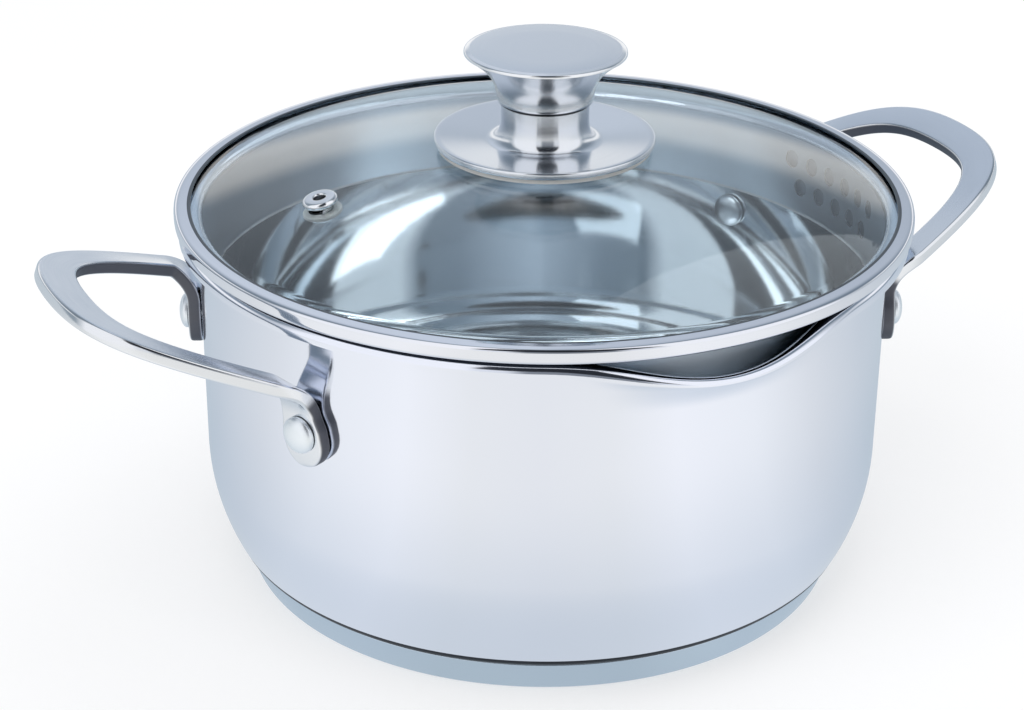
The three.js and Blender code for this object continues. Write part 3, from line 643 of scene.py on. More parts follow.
def make_base_cup():
    """The cup under the floor: flat foot, round edge, leaning wall with a round lip, and its inside."""
    slope = (BASE_TOP_RADIUS - BASE_FOOT_RADIUS) / (BASE_HEIGHT - BASE_FILLET)
    inset = BASE_FILLET + BASE_SHEET
    lip = BASE_SHEET / 2
    outline = joined(
        (0.0, 0.0),
        (BASE_FOOT_RADIUS * FOOT_SHARE, 0.0),
        arc(BASE_FOOT_RADIUS - BASE_FILLET, BASE_FILLET, BASE_FILLET, -QUARTER, 0.0, 10),
        arc(BASE_TOP_RADIUS - lip, BASE_HEIGHT - lip, lip, 0.0, math.pi, 8),
        (BASE_FOOT_RADIUS + slope * (inset - BASE_FILLET) - BASE_SHEET, inset),
        (BASE_FOOT_RADIUS - inset, BASE_SHEET),
        (0.0, BASE_SHEET),
    )
    skin = patch(spun(outline, turns(POT_STEPS)))
    make_piece("base_cup", "base_cap", "pot", ["cup_steel"], [skin])


# Handles and rivets


def unit(vectors):
    """Vectors with length 1."""
    return vectors / np.linalg.norm(vectors, axis=-1, keepdims=True)


def bezier(a, b, c, d, t):
    """Points and directions of the cubic curve with ends a, d and pulls b, c."""
    t = t[:, None]
    u = 1 - t
    points = u**3 * a + 3 * u**2 * t * b + 3 * u * t**2 * c + t**3 * d
    return points, unit(3 * u**2 * (b - a) + 6 * u * t * (c - b) + 3 * t**2 * (d - c))


def handle_half():
    """Cross-sections of half a bar, from the foot of its tab to its tip: middles, directions across and
    along it, widths, thicknesses and satin shares. The tab runs up past the rivet from a round end,
    leaning towards the handle's middle; a cubic curve bends it outwards while it narrows, and a long cubic
    curve in the tilted plane of the loop leads to the tip."""
    radial = np.array([math.cos(RIVET_ANGLE), math.sin(RIVET_ANGLE), 0.0])
    side = np.array([-math.sin(RIVET_ANGLE), math.cos(RIVET_ANGLE), 0.0])
    upright = np.array([0.0, 0.0, 1.0])
    normal = np.array([-math.sin(HANDLE_TILT), 0.0, math.cos(HANDLE_TILT)])

    tab_up = upright - side * math.tan(TAB_LEAN)
    at_rivet = radial * TAB_MIDDLE + upright * RIVET_HEIGHT

    turn = np.linspace(TAB_END_START, QUARTER, 20)
    depth = TAB_WIDTH / 2 * (1 - np.cos(turn))
    rise = np.linspace(0.0, BEND_FOOT, 8, endpoint=False)
    tab = at_rivet + tab_up * np.concatenate([depth - RIVET_EDGE, rise])[:, None]
    narrowing = (ARM_WIDTH - TAB_WIDTH) * TAB_TAPER * smooth_step(rise, 0.0, BEND_FOOT)
    tab_width = np.concatenate([TAB_WIDTH * np.sin(turn), TAB_WIDTH + narrowing])
    bevel = np.clip(HANDLE_ROUND - depth, 0.0, None)
    end_thick = HANDLE_THICK - 2 * (HANDLE_ROUND - np.sqrt(HANDLE_ROUND**2 - bevel**2))

    ahead = math.cos(ARM_ANGLE)
    outwards = np.array([ahead, math.sin(ARM_ANGLE), ahead * math.tan(HANDLE_TILT)])
    tab_top = at_rivet + tab_up * BEND_FOOT
    arm_foot = at_rivet + radial * BEND_OUT - side * BEND_SIDE + upright * (BEND_FOOT + BEND_UP)
    share = np.linspace(0.0, 1.0, 28)
    bend, bend_along = bezier(
        tab_top,
        tab_top + tab_up * BEND_UP * BEND_ROUND,
        arm_foot - outwards * BEND_OUT * BEND_ROUND,
        arm_foot,
        share,
    )
    tilted = unit(np.cross(normal, bend_along))
    bend_across = side + (tilted - side) * share[:, None] ** 2
    bend_width = TAB_WIDTH + (ARM_WIDTH - TAB_WIDTH) * (TAB_TAPER + (1 - TAB_TAPER) * share)

    tip_radius = HANDLE_REACH - TIP_WIDTH / 2 * math.cos(HANDLE_TILT)
    tip = np.array([tip_radius, 0.0, arm_foot[2] + (tip_radius - arm_foot[0]) * math.tan(HANDLE_TILT)])
    reach = np.linspace(0.0, 1.0, 65)[1:]
    arm, arm_along = bezier(
        arm_foot, arm_foot + outwards * ARM_LENGTH, tip + np.array([0.0, TIP_SWEEP, 0.0]), tip, reach
    )
    arm_width = ARM_WIDTH + (TIP_WIDTH - ARM_WIDTH) * smooth_step(reach, ARM_TAPER, 1.0)

    middle = joined(tab, bend, arm)
    along = joined(np.tile(tab_up, (len(tab), 1)), bend_along, arm_along)
    across = joined(np.tile(side, (len(tab), 1)), bend_across, np.cross(normal, arm_along))
    width = np.concatenate([tab_width, bend_width, arm_width])
    thick = np.concatenate([end_thick, np.full(len(middle) - len(end_thick), HANDLE_THICK)])
    arm_satin = BEND_SATIN + (1 - BEND_SATIN) * smooth_step(reach, 0.0, SATIN_REACH)
    satin = np.concatenate([np.full(len(tab) + len(bend), BEND_SATIN), arm_satin])
    return middle, across, along, width, thick, satin


def make_handle(name, node, turn):
    """A bar swept through its sections, each a rectangle with rounded corners: corner centres plus
    the round's radius times (cos t, sin t). The loop's inner edge is eased by its mean over the length
    with weights exp(-(distance / INNER_EASE)^2)."""
    middle, across, along, width, thick, satin = handle_half()
    mirror = np.array([1.0, -1.0, 1.0])
    back = slice(-2, None, -1)
    middle = joined(middle, middle[back] * mirror)
    across = joined(across, across[back] * mirror)
    along = joined(along, along[back] * -mirror)
    width, thick, satin = (np.concatenate([half, half[back]]) for half in (width, thick, satin))
    through = unit(np.cross(along, across))
    across = unit(np.cross(through, along))

    t = np.concatenate([np.linspace(q * QUARTER, (q + 1) * QUARTER, CORNER_STEPS) for q in range(4)])
    sign_x = np.repeat([1.0, -1.0, -1.0, 1.0], CORNER_STEPS)
    sign_y = np.repeat([1.0, 1.0, -1.0, -1.0], CORNER_STEPS)
    a = width[:, None] / 2
    b = thick[:, None] / 2
    round_off = np.minimum(HANDLE_ROUND, np.minimum(a, b) * ROUND_LIMIT)
    sideways = sign_x * (a - round_off) + round_off * np.cos(t)
    upwards = sign_y * (b - round_off) + round_off * np.sin(t)
    points = middle[:, None] + across[:, None] * sideways[..., None] + through[:, None] * upwards[..., None]

    lengths = np.concatenate([[0.0], np.cumsum(np.linalg.norm(np.diff(middle, axis=0), axis=1))])
    inner_edge = middle - across * a
    weight = np.exp(-(((lengths[:, None] - lengths) / INNER_EASE) ** 2)) * np.gradient(lengths)
    eased = weight / weight.sum(axis=1, keepdims=True) @ inner_edge
    shift = (eased - inner_edge) * smooth_step(satin, BEND_SATIN, 1.0)[:, None]
    points = placed(points + shift[:, None] * (sign_x < 0)[:, None], turn)

    flat = smooth_step(np.abs(np.sin(t)), *FLAT_FACING) * satin[:, None]
    along_bar = np.repeat(lengths[:, None], len(t), axis=1) * MM
    # Painted shade: the inner side of the loop and both sides of the tabs get a dark colour, as where shade
    # falls
    on_tab = 1 - smooth_step(np.abs(through[:, 2:]), *TAB_FACING)
    inner_side = smooth_step(-np.cos(t), *SIDE_FACING)
    both_sides = smooth_step(np.abs(np.cos(t)), *SIDE_FACING)
    painted_shade_share = np.maximum(inner_side, both_sides * on_tab)
    values = {"satin": flat, "painted_shade_share": painted_shade_share, "along": along_bar, "across": sideways * MM}
    skin = patch(points)
    left = np.arange(len(t) // 2 - 1)
    right = len(t) - 1 - left
    end = np.column_stack([left, left + 1, right - 1, right])
    faces = np.vstack([skin[1], end, end + (len(points) - 1) * len(t)])
    bar = (skin[0], faces, np.zeros(len(faces), int))
    make_piece(name, node, "pot", ["handle_steel"], [bar], values, HANDLE_SHARP)


def make_rivet(node, turn):
    """Two domed heads on a shank, spun about the rivet's own axis and laid along a radius."""
    inner = POT_RADIUS - RIVET_SEAT
    outer = TAB_OUTER + GAP
    t = np.linspace(0.0, QUARTER, 14)
    rise = RIVET_RIM + (RIVET_DOME - RIVET_RIM) * np.sin(t)
    outline = joined(
        paired(RIVET_HEAD * np.cos(t), inner - rise)[::-1],
        (RIVET_HEAD, inner),
        (RIVET_SHANK, inner),
        (RIVET_SHANK, outer),
        (RIVET_HEAD, outer),
        paired(RIVET_HEAD * np.cos(t), outer + rise),
    )
    laid = placed(spun(outline, turns(RIVET_STEPS)), 0.0, QUARTER)
    skin = patch(placed(laid, turn, lift=(0.0, 0.0, RIVET_HEIGHT)))
    make_piece(node + "_steel", node, "pot", ["rivet_steel"], [skin])


# Lid


def ring_outline():
    """The folded strip's closed outline: up the skirt's outer face, over the bend, round the bead to
    the lip, and back round the inside to the skirt's inner face. With it go the first points of the
    bend, of the bead past its painted shade, of the lip's painted shadow and of the skirt's inner face."""
    rows = np.concatenate([[SKIRT_FOOT + RING_SHEET / 2], skirt_rows()])
    bend_radius = SKIRT_OUTER + RING_BEND
    bend_height = RING_UNDER - RING_BEND
    lip = RING_SHEET / 2
    lip_radius = RING_RADIUS - RING_LIP + lip
    bead = arc(0.0, 0.0, 1.0, -QUARTER, QUARTER, BEAD_STEPS)
    bead = np.sign(bead) * np.abs(bead) ** BEAD_SQUARE
    outline = joined(
        paired(SKIRT_OUTER, rows),
        arc(bend_radius, bend_height, RING_BEND, math.pi, QUARTER, BEND_STEPS)[1:],
        (BEAD_RADIUS, BEAD_HEIGHT) + BEAD_OUTER * bead,
        (lip_radius + LIP_SHADOW_WIDTH, BEAD_HEIGHT + BEAD_OUTER),
        arc(lip_radius, BEAD_HEIGHT + BEAD_OUTER - lip, lip, QUARTER, 3 * QUARTER, LIP_STEPS),
        arc(BEAD_RADIUS, BEAD_HEIGHT, BEAD_INNER, QUARTER, -QUARTER, 16),
        arc(bend_radius, bend_height, RING_BEND + RING_SHEET, QUARTER, math.pi, BEND_STEPS)[:-1],
        paired(SKIRT_INNER, rows[::-1]),
        arc(SKIRT_OUTER - lip, SKIRT_FOOT + lip, lip, math.pi, 2 * math.pi, FOOT_STEPS)[1:-1],
    )
    bead_start = len(rows) + BEND_STEPS - 1
    inner_start = len(outline) - len(rows) - (FOOT_STEPS - 2)
    return outline, len(rows), bead_start + BEAD_SHADE_CELLS, bead_start + BEAD_STEPS, inner_start


def row_heights():
    """Lowest and highest height of the cells of each row of strain holes."""
    drops = [drop for drop, _ in STRAIN_ROWS]
    half = (drops[1] - drops[0]) / 2
    return [(RING_UNDER - drop - half, RING_UNDER - drop + half) for drop in drops]


def skirt_rows():
    """Heights up the skirt, with STRAIN_CELLS even steps over each row of holes."""
    (low_1, high_1), (low_2, _) = row_heights()
    return np.concatenate(
        [
            np.linspace(SKIRT_FOOT + SKIRT_HEM, low_2, FOOT_ROWS, endpoint=False),
            np.linspace(low_2, low_1, STRAIN_CELLS, endpoint=False),
            np.linspace(low_1, high_1, STRAIN_CELLS, endpoint=False),
            np.linspace(high_1, RING_UNDER - RING_BEND, 3),
        ]
    )


def ring_angles():
    """Angles round the ring, with STRAIN_CELLS even steps over each hole of the upper row."""
    half = STRAIN_ROWS[0][1] * STRAIN_PITCH / 2
    fine = np.linspace(-half, half, STRAIN_ROWS[0][1] * STRAIN_CELLS, endpoint=False)
    coarse = np.linspace(half, 180.0 - half, 150, endpoint=False)
    one_side = np.concatenate([fine, coarse])
    return np.radians(np.concatenate([one_side + LID_TURN, one_side + LID_TURN + 180.0]))


def skirt_hole(angle, low, high, middle):
    """The cells round one strain hole: a window on each face of the skirt and the hole's own wall."""
    half_width = math.radians(STRAIN_PITCH / 2) * SKIRT_OUTER
    flat = window((-half_width, low), (half_width, high), (0.0, middle), STRAIN_RADIUS, rings=4)
    turn = angle + flat[..., 0] / SKIRT_OUTER
    rim = np.stack([np.cos(turn), np.sin(turn)], -1)
    height = flat[..., 1:]
    outer = np.concatenate([rim * SKIRT_OUTER, height], -1)
    inner = np.concatenate([rim * SKIRT_INNER, height], -1)
    wall = np.stack([outer[0], inner[0]])
    faces = [patch(face, finish=SKIRT_FINISH) for face in (outer, inner)]
    # The hole's own wall takes the painted shade, near-black where shade falls inside the hole
    return [*faces, patch(wall, finish=PAINTED_SHADE_FINISH)]


def make_ring():
    """The spun ring, with windows in place of the skirt's cells at each strain hole."""
    outline, skirt_count, bead_unshaded_start, lip_start, inner_start = ring_outline()
    angles = ring_angles()
    points = spun(outline, angles)
    kept = np.ones(points.shape[:2], bool)
    finish = np.full(points.shape[:2], RING_FINISH)
    # Painted shade: the bend under the ring and the bead's lowest cells are near-black where shade falls
    finish[:skirt_count] = SKIRT_FINISH
    finish[skirt_count:bead_unshaded_start] = PAINTED_SHADE_FINISH
    # Painted shadow: a dark strip along the lip's flat edge and its round
    finish[lip_start : lip_start + LIP_STEPS] = LIP_SHADOW_FINISH
    finish[inner_start:] = SKIRT_FINISH
    # Painted highlight: the skirt's hem is near-white, like an edge catching light
    finish[inner_start + skirt_count - 2 :] = HEM_HIGHLIGHT_FINISH
    patches = []
    for side, side_turn in enumerate(STRAIN_SIDES):
        for row, (drop, count) in enumerate(STRAIN_ROWS):
            low, high = row_heights()[row]
            start = 1 + FOOT_ROWS + (STRAIN_CELLS if row == 0 else 0)
            inner_row = inner_start + skirt_count - 1 - start - STRAIN_CELLS
            shift = (STRAIN_ROWS[0][1] - count) * STRAIN_CELLS // 2
            for hole in range(count):
                column = side * len(angles) // 2 + shift + hole * STRAIN_CELLS
                for first in (start, inner_row):
                    kept[first : first + STRAIN_CELLS, column : column + STRAIN_CELLS] = False
                turn = LID_TURN + side_turn + (hole - (count - 1) / 2) * STRAIN_PITCH
                patches += skirt_hole(math.radians(turn), low, high, RING_UNDER - drop)
    strip = patch(points, True, kept, finish)
    steels = ["ring_steel", "skirt_steel", "painted_shade_steel", "hem_highlight_steel", "lip_shadow_steel"]
    make_piece("lid_rim_strip", "lid_ring", "lid", steels, [strip, *patches])


def dome_height(radius, depth=0.0):
    """Height of the glass's upper face, a sphere's cap, or of a smaller sphere by a depth."""
    return CROWN - DOME_SPHERE + np.sqrt((DOME_SPHERE - depth) ** 2 - radius**2)


VENT_LEAN = math.asin(VENT_RADIUS / DOME_SPHERE)
VENT_PLACE = (
    VENT_RADIUS * math.cos(VENT_TURN),
    VENT_RADIUS * math.sin(VENT_TURN),
    float(dome_height(VENT_RADIUS)),
)


def make_dome():
    """The glass: both faces of the cap and a round edge, with a window on each face for the vent."""
    vent_low, vent_high = VENT_RADIUS - VENT_HALF, VENT_RADIUS + VENT_HALF
    inner_rows = np.linspace(GLASS_HOLE, vent_low, 20, endpoint=False)
    vent_rows = np.linspace(vent_low, vent_high, STRAIN_CELLS, endpoint=False)
    outer_rows = np.linspace(vent_high, DOME_RADIUS, 10)
    radii = np.concatenate([inner_rows, vent_rows, outer_rows])
    half_turn = VENT_HALF / VENT_RADIUS
    fine = np.linspace(-half_turn, half_turn, STRAIN_CELLS, endpoint=False)
    coarse = np.linspace(half_turn, 2 * math.pi - half_turn, 240, endpoint=False)
    angles = np.concatenate([fine, coarse]) + VENT_TURN
    over = paired(radii, dome_height(radii))
    under = paired(radii, np.maximum(dome_height(radii, GLASS_THICK), GLASS_TOP - GLASS_THICK))
    edge = arc(BEAD_RADIUS, BEAD_HEIGHT, GLASS_THICK / 2, QUARTER, -QUARTER, 12)
    points = spun(joined(over, edge, under[::-1]), angles)
    kept = np.ones(points.shape[:2], bool)
    first = len(inner_rows)
    for row in (first, len(points) - 1 - first - STRAIN_CELLS):
        kept[row : row + STRAIN_CELLS, :STRAIN_CELLS] = False
    low, high = (-VENT_HALF, -VENT_HALF), (VENT_HALF, VENT_HALF)
    flat = window(low, high, (0.0, 0.0), VENT_TUBE + GAP, rings=5)
    radius = VENT_RADIUS + flat[..., 1]
    turn = VENT_TURN + flat[..., 0] / VENT_RADIUS
    faces = [
        np.stack([radius * np.cos(turn), radius * np.sin(turn), dome_height(radius, depth)], -1)
        for depth in (0.0, GLASS_THICK)
    ]
    wall = np.stack([faces[0][0], faces[1][0]])
    patches = [patch(points, True, kept), patch(faces[0]), patch(faces[1]), patch(wall)]
    make_piece("lid_dome", "lid_glass", "lid", ["glass"], patches)


def make_vent():
    """The vent's eyelet with a round flange, and its washer below the glass, leaned with the dome."""
    foot = -GLASS_THICK - 2 * GAP - VENT_WASHER_THICK
    crest = (VENT_RISE - GAP) / 2
    tube = joined(
        (VENT_BORE, foot - GAP - VENT_RIM),
        (VENT_FOOT - VENT_RIM, foot - GAP - VENT_RIM),
        arc(VENT_FOOT - VENT_RIM, foot - GAP, VENT_RIM, -QUARTER, 0.0, 6)[1:],
        (VENT_TUBE, foot - GAP),
        (VENT_TUBE, GAP),
        arc(VENT_FLANGE - crest, GAP + crest, crest, -QUARTER, QUARTER, 16),
        arc(VENT_BORE + VENT_RIM, VENT_RISE - VENT_RIM, VENT_RIM, QUARTER, math.pi, 8),
    )
    top = -GLASS_THICK - GAP
    seal = flat_ring(VENT_TUBE + GAP, VENT_WASHER, top - VENT_WASHER_THICK, top, VENT_ROUND)
    for name, node, slot, finish, outline in (
        ("vent_tube", "vent_eyelet", "polished_steel", "knob_steel", tube),
        ("vent_seal", "vent_washer", "silicone", "rubber", seal),
    ):
        points = placed(spun(outline, turns(VENT_STEPS)), VENT_TURN, VENT_LEAN, VENT_PLACE)
        make_piece(name, node, "lid", [finish], [patch(points, True)])


def flat_ring(inner, outer, under, over, rounding):
    """Outline of a flat ring with rounded outer edges."""
    return joined(
        (inner, under),
        arc(outer - rounding, under + rounding, rounding, -QUARTER, 0.0, 5),
        arc(outer - rounding, over - rounding, rounding, 0.0, QUARTER, 5),
        (inner, over),
    )


# Knob

SAUCER_UNDER = float(dome_height(GASKET_INNER)) + GAP + GASKET_THICK + GAP
NECK_TOP = SAUCER_UNDER + NECK_HEIGHT
GRIP_UNDER = NECK_TOP + GAP
GRIP_TOP = GRIP_UNDER + GRIP_HEIGHT
GROMMET_TOP = float(dome_height(GROMMET_FLANGE, GLASS_THICK)) - GAP
WASHER_TOP = GROMMET_TOP - GROMMET_THICK - GAP
SCREW_SEAT = WASHER_TOP - WASHER_THICK - GAP


def make_grip():
    """The flared grip, hollow: its radius grows from foot to edge with the height share to a power."""
    edge_foot = GRIP_TOP - GRIP_EDGE
    wall_foot = GRIP_UNDER + GRIP_ROUND
    share = np.linspace(0.0, 1.0, 28)
    radius = GRIP_FOOT + (GRIP_RADIUS - GRIP_FOOT) * share**GRIP_FLARE
    height = wall_foot + (edge_foot - wall_foot) * share
    lined = paired(radius - KNOB_SHEET, height)[-GRIP_UNLINED - 1 :: -1]
    half_edge = GRIP_EDGE / 2
    ceiling = GRIP_TOP - KNOB_SHEET - GAP
    wall = joined(
        arc(GRIP_FOOT - GRIP_ROUND, wall_foot, GRIP_ROUND, -QUARTER, 0.0, 10)[:-1],
        paired(radius, height),
        arc(GRIP_RADIUS - half_edge, edge_foot + half_edge / 2, half_edge, 0.0, GRIP_EDGE_TURN, 8),
    )
    top = joined(
        (GRIP_RADIUS - GRIP_BORDER, GRIP_TOP - GRIP_CROWN),
        (GRIP_RADIUS * GRIP_CROWN_SHARE, GRIP_TOP - GRIP_CROWN / 3),
        (0.0, GRIP_TOP),
    )
    lining = joined((0.0, ceiling), (lined[0, 0], ceiling), lined, (GRIP_FOOT - GRIP_ROUND, wall_foot))
    outline = joined(wall, top, lining, wall[0])
    polished, satin, grip_shade_paint = range(3)
    finish = np.full((len(outline) - 1, 1), polished)
    # Painted shade: the round at the grip's foot is near-black, as a shadow line under the grip
    finish[:GRIP_SHADE_CELLS] = grip_shade_paint
    finish[len(wall) : len(wall) + len(top) - 1] = satin
    skin = patch(spun(outline, turns(GRIP_STEPS)), finish=finish)
    steels = ["knob_steel", "knob_satin", "painted_shade_steel"]
    make_piece("knob_grip", "knob_top", "knob", steels, [skin])


def make_saucer():
    """Saucer and neck in one sheet: a disc dished towards the middle, one cubic curve from it into the neck
    with its hole, and an inside with a quarter-round fillet."""
    saucer_top = SAUCER_UNDER + SAUCER_EDGE
    fillet_radius = NECK_RADIUS + NECK_FLARE + NECK_FILLET
    fillet_height = saucer_top - SAUCER_DISH + NECK_FILLET
    hole = INSERT_RADIUS + GAP
    rounding = SAUCER_EDGE / 4
    edge = joined(
        arc(SAUCER_RADIUS - rounding, SAUCER_UNDER + rounding, rounding, -QUARTER, 0.0, 6),
        arc(SAUCER_RADIUS - rounding, saucer_top - rounding, rounding, 0.0, QUARTER, 6),
    )
    share = np.linspace(0.0, 1.0, 12)[1:-1]
    disc_radii = SAUCER_RADIUS - rounding + (fillet_radius - SAUCER_RADIUS + rounding) * share
    disc = paired(disc_radii, saucer_top - SAUCER_DISH * share)
    foot = np.array([fillet_radius, saucer_top - SAUCER_DISH])
    curve, _ = bezier(
        foot,
        foot + unit(foot - disc[0]) * NECK_FILLET,
        np.array([NECK_RADIUS, foot[1] + NECK_FILLET * NECK_PULL]),
        np.array([NECK_RADIUS, foot[1] + NECK_FILLET * NECK_CURVE]),
        np.linspace(0.0, 1.0, 32),
    )
    neck = joined(
        curve,
        (NECK_RADIUS, NECK_TOP),
        (hole, NECK_TOP),
        (hole, NECK_TOP - KNOB_SHEET),
        (NECK_RADIUS - KNOB_SHEET, NECK_TOP - KNOB_SHEET),
        arc(fillet_radius, fillet_height, NECK_FILLET + KNOB_SHEET, math.pi, 3 * QUARTER, 10),
        (SAUCER_RADIUS - SAUCER_EDGE, saucer_top - KNOB_SHEET),
        (SAUCER_RADIUS - SAUCER_EDGE, SAUCER_UNDER),
    )
    outline = joined(edge, disc, neck)
    skin = patch(spun(outline, turns(SAUCER_STEPS)), True)
    make_piece("knob_saucer", "knob_base", "knob", ["saucer_steel"], [skin])


def make_knob_fittings():
    """The seal under the saucer, the sleeve in the glass and the washer below it."""
    over = SAUCER_UNDER - GAP
    seal = joined(
        (GASKET_INNER, dome_height(GASKET_INNER) + GAP),
        (GASKET_OUTER, dome_height(GASKET_OUTER) + GAP),
        (GASKET_OUTER, over),
        (GASKET_INNER, over),
    )
    bore = SCREW_RADIUS + GAP
    sleeve = GLASS_HOLE - GAP
    grommet = joined(
        flat_ring(bore, GROMMET_FLANGE, GROMMET_TOP - GROMMET_THICK, GROMMET_TOP, FITTING_ROUND)[:-1],
        (sleeve, GROMMET_TOP),
        (sleeve, CROWN - GAP),
        (bore, CROWN - GAP),
    )
    washer = flat_ring(bore, WASHER_RADIUS, WASHER_TOP - WASHER_THICK, WASHER_TOP, FITTING_ROUND)
    for name, node, slot, finish, outline in (
        ("knob_seal", "knob_gasket", "silicone", "rubber", seal),
        ("dome_sleeve", "glass_grommet", "silicone", "rubber", grommet),
        ("clamp_washer", "knob_washer", "polished_steel", "screw_steel", washer),
    ):
        skin = patch(spun(outline, turns(FITTING_STEPS)), True)
        make_piece(name, node, "knob", [finish], [skin])


def make_screw():
    """The screw below the glass: a spun outline whose head is pressed in by a cross, a smooth step of the
    distance from the cross's arms."""
    foot = SCREW_SEAT - SCREW_HEAD_HEIGHT
    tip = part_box("knob_screw")[1].z / MM
    rounding = SCREW_HEAD_HEIGHT / 2
    face = np.linspace(0.0, SCREW_HEAD - rounding, 24)
    outline = joined(
        paired(face, foot),
        arc(SCREW_HEAD - rounding, foot + rounding, rounding, -QUARTER, 0.0, 10)[1:],
        (SCREW_HEAD, SCREW_SEAT),
        (SCREW_RADIUS, SCREW_SEAT),
        (SCREW_RADIUS, tip - SCREW_RADIUS / 2),
        (SCREW_RADIUS / 2, tip),
        (0.0, tip),
    )
    x, y, z = np.moveaxis(spun(outline, turns(FITTING_STEPS)), -1, 0)
    beside = smooth_step(np.minimum(np.abs(x), np.abs(y)), *SLOT_SIDE)
    beyond = smooth_step(np.maximum(np.abs(x), np.abs(y)), *SLOT_REACH)
    pressed = (z < foot + FACE_NEAR) * (1 - beside) * (1 - beyond) * rounding
    skin = patch(np.stack([x, y, z + pressed], -1))
    make_piece("clamp_screw", "knob_screw", "knob", ["screw_steel"], [skin])


# Studio

FRONT = (math.sin(CAMERA_SIDE), -math.cos(CAMERA_SIDE), 0.0)
RIGHT = (math.cos(CAMERA_SIDE), math.sin(CAMERA_SIDE), 0.0)
GAP_TURN = math.radians(8.0)
PANEL_STOPS = (0.165, (1.0, 1.0, 1.02)), (0.47, (0.98, 0.99, 1.02))
STUDIO_STOPS = (
    (0.0, (0.025, 0.028, 0.034)),
    (0.15, (0.03, 0.034, 0.042)),
    *PANEL_STOPS,
    (0.55, (0.19, 0.235, 0.28)),
    (0.72, (0.22, 0.27, 0.325)),
    (1.0, (0.63, 0.69, 0.78)),
)
LOW_STOPS = (
    (0.0, (0.22, 0.24, 0.27)),
    (0.07, (0.24, 0.26, 0.29)),
    (0.1, (0.8, 0.82, 0.86)),
    (0.15, (0.82, 0.84, 0.88)),
    *PANEL_STOPS,
    (0.55, (0.28, 0.335, 0.39)),
    (0.72, (0.3, 0.355, 0.42)),
    (1.0, (0.5, 0.56, 0.64)),
)
FLOOR_STOPS = (
    (0.0, (0.9, 0.9, 0.89)),
    (0.1, (0.92, 0.92, 0.9)),
    (0.2, (1.0, 1.0, 1.0)),
    (0.33, (0.94, 0.95, 0.95)),
    (0.45, (0.79, 0.81, 0.82)),
    (0.6, (0.64, 0.69, 0.73)),
    (0.8, (0.51, 0.59, 0.66)),
    (1.0, (0.48, 0.57, 0.65)),
)
LOW_TOP = (0.34, 0.42)
BACKDROP_HEIGHT = 0.2
BACKDROP_HALF = (0.13, 0.06)
BACKDROP_SIDE = (0.5, 0.6)
CEILING = (0.985, 0.995)
CEILING_COLOUR = (0.2, 0.23, 0.27, 1)
ROOM_COLOUR = (0.7, 0.71, 0.73, 1)
WHITE = (1, 1, 1, 1)
BLACK = (0, 0, 0, 1)
FLOOR_SIZE = 6.0
FLOOR_DROP = 0.0001
FLOOR_NEAR = (0.24, 0.1)
FLOOR_NEAR_SHARE = 0.4
FLOOR_SHADOW_COLOUR = (0.3, 0.42, 0.55, 1)
FLOOR_COLOUR = (0.5, 0.5, 0.5, 1)
FLOOR_GLOW = (0.52, 0.52, 0.52, 1)
LAMP_AIM = Vector((0, 0, 0.06))
# Lamps: name, place, size and power
LAMPS = ("key_lamp", (-0.9, -0.5, 1.5), 1.2, 9.0), ("fill_lamp", (1.1, 0.3, 1.3), 1.2, 5.0)


def side_share(tree, direction, turn):
    """Angle of a direction from the studio's front, turned, as a share of half a turn."""
    ahead = add_node(tree, "ShaderNodeVectorMath", {0: direction, 1: FRONT}, operation="DOT_PRODUCT")
    aside = add_node(tree, "ShaderNodeVectorMath", {0: direction, 1: RIGHT}, operation="DOT_PRODUCT")
    angle = maths(tree, "ARCTAN2", aside.outputs["Value"], ahead.outputs["Value"])
    around = maths(tree, "ABSOLUTE", maths(tree, "SUBTRACT", angle, turn))
    return maths(tree, "DIVIDE", around, math.pi)


def seen_plain(tree):
    """1 for what is looked at directly or through glass, 0 for what a reflection shows."""
    path = add_node(tree, "ShaderNodeLightPath")
    direct = maths(tree, "MAXIMUM", path.outputs["Is Camera Ray"], path.outputs["Is Transmission Ray"])
    return maths(tree, "MULTIPLY", direct, maths(tree, "LESS_THAN", path.outputs["Glossy Depth"], 0.5)), path


def make_world():
    """A studio that is white where it is looked at directly or through glass, and an even grey for diffuse
    light. Reflections show white panels at the sides, a dark gap in front that is paler low down, a cool
    back with a white backdrop low in it, and a dark patch overhead."""
    world = bpy.data.worlds.new("studio")
    bpy.context.scene.world = world
    world.use_nodes = True
    tree = world.node_tree
    direction = add_node(tree, "ShaderNodeTexCoord").outputs["Generated"]
    side = side_share(tree, direction, GAP_TURN)
    height = add_node(tree, "ShaderNodeSeparateXYZ", {0: direction}).outputs["Z"]
    low = stops_ramp(tree, side, LOW_STOPS)
    high = stops_ramp(tree, side, STUDIO_STOPS)
    around = colour_mix(tree, mapped(tree, height, *LOW_TOP), low, high)
    off_band = maths(tree, "ABSOLUTE", maths(tree, "SUBTRACT", height, BACKDROP_HEIGHT))
    band = mapped(tree, off_band, *BACKDROP_HALF)
    backdrop = maths(tree, "MULTIPLY", band, mapped(tree, side, *BACKDROP_SIDE))
    around = colour_mix(tree, backdrop, around, WHITE)
    studio = colour_mix(tree, mapped(tree, height, *CEILING), around, CEILING_COLOUR)
    plain, path = seen_plain(tree)
    lit = colour_mix(tree, path.outputs["Is Diffuse Ray"], studio, ROOM_COLOUR)
    feed(tree, tree.nodes["Background"], {"Color": colour_mix(tree, plain, lit, WHITE)})


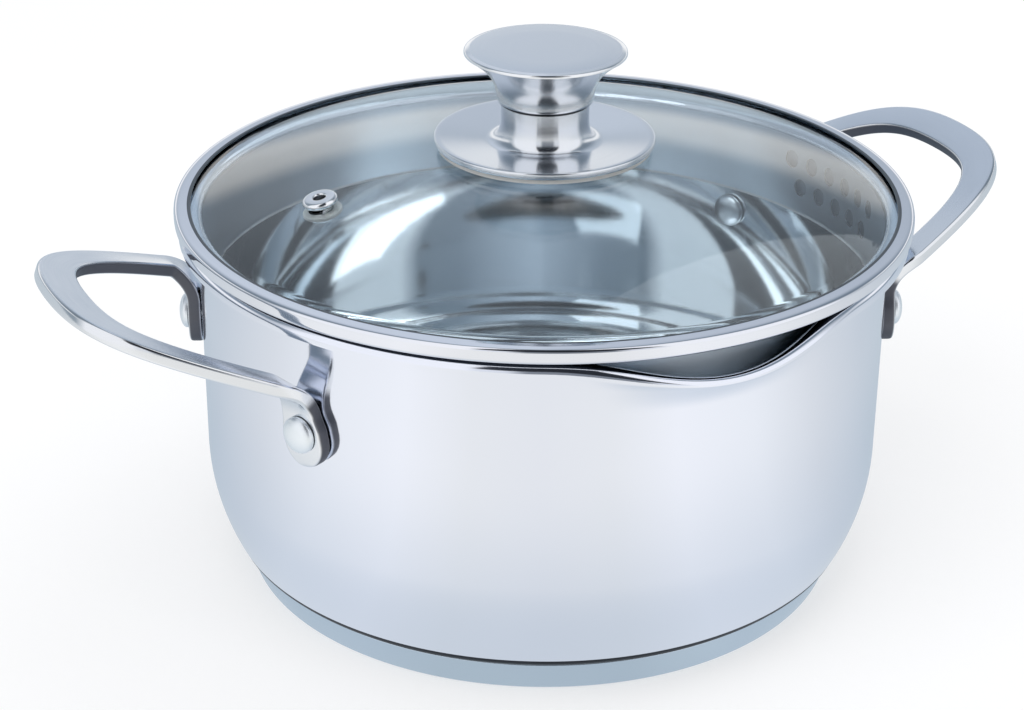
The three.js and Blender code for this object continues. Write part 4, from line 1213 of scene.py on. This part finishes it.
def floor_white(tree):
    """White where it is looked at directly or through glass. Reflections show it cooler at the sides and
    behind, and darker close to the pot, a painted shadow."""
    place = add_node(tree, "ShaderNodeTexCoord").outputs["Object"]
    around = stops_ramp(tree, side_share(tree, place, 0.0), FLOOR_STOPS)
    plain, _ = seen_plain(tree)
    # Painted shadow: reflections show the floor darker and bluer close to the pot
    far = add_node(tree, "ShaderNodeVectorMath", {0: place}, operation="LENGTH").outputs["Value"]
    near = mapped(tree, far, *FLOOR_NEAR, high=FLOOR_NEAR_SHARE, ease="SMOOTHSTEP")
    around = colour_mix(tree, near, around, FLOOR_SHADOW_COLOUR)
    return {
        "Base Color": colour_mix(tree, plain, BLACK, FLOOR_COLOUR),
        "Roughness": 0.9,
        "Specular IOR Level": 0.0,
        "Emission Color": colour_mix(tree, plain, around, FLOOR_GLOW),
        "Emission Strength": 1.0,
    }


def make_floor():
    """A wide floor that takes the pot's shadow."""
    mesh = bpy.data.meshes.new("studio_floor")
    corners = [(x * FLOOR_SIZE, y * FLOOR_SIZE, 0) for x, y in ((-1, -1), (1, -1), (1, 1), (-1, 1))]
    mesh.from_pydata(corners, [], [(0, 1, 2, 3)])
    floor = add_object("studio_floor", mesh)
    floor.location.z = -FLOOR_DROP
    mesh.materials.append(make_material("floor_white", floor_white))


def make_lamp(name, place, size, power):
    """A square soft lamp aimed at the pot."""
    light = bpy.data.lights.new(name, "AREA")
    light.size = size
    light.energy = power
    lamp = add_object(name, light)
    lamp.location = place
    lamp.rotation_euler = (LAMP_AIM - Vector(place)).to_track_quat("-Z", "Y").to_euler()
    lamp.visible_glossy = False


def make_camera():
    """The camera at the photo's place, a little aside of its aim and with a small roll."""
    lens = bpy.data.cameras.new("studio_camera")
    lens.lens = CAMERA_LENS
    lens.sensor_width = CAMERA_SENSOR
    camera = add_object("studio_camera", lens)
    place = Vector(CAMERA_PLACE) * MM
    aim = Vector(CAMERA_AIM) * MM
    right = (aim - place).cross(Vector((0, 0, 1))).normalized()
    look = (aim - right * CAMERA_SIDESTEP * MM) - place
    camera.matrix_world = (
        Matrix.Translation(place)
        @ look.to_track_quat("-Z", "Y").to_matrix().to_4x4()
        @ Matrix.Rotation(CAMERA_ROLL, 4, "Z")
    )
    bpy.context.scene.camera = camera


make_camera()
make_world()
make_floor()
for lamp in LAMPS:
    make_lamp(*lamp)
bpy.context.scene.view_settings.view_transform = "Standard"

make_pot()
make_base_cup()
make_handle("handle_bar_right", "handle_right", 0.0)
make_handle("handle_bar_left", "handle_left", math.pi)
for rivet, rivet_turn in (
    ("rivet_right_front", -RIVET_ANGLE),
    ("rivet_right_rear", RIVET_ANGLE),
    ("rivet_left_rear", math.pi - RIVET_ANGLE),
    ("rivet_left_front", math.pi + RIVET_ANGLE),
):
    make_rivet(rivet, rivet_turn)
make_ring()
make_dome()
make_vent()
make_grip()
make_saucer()
make_knob_fittings()
make_screw()
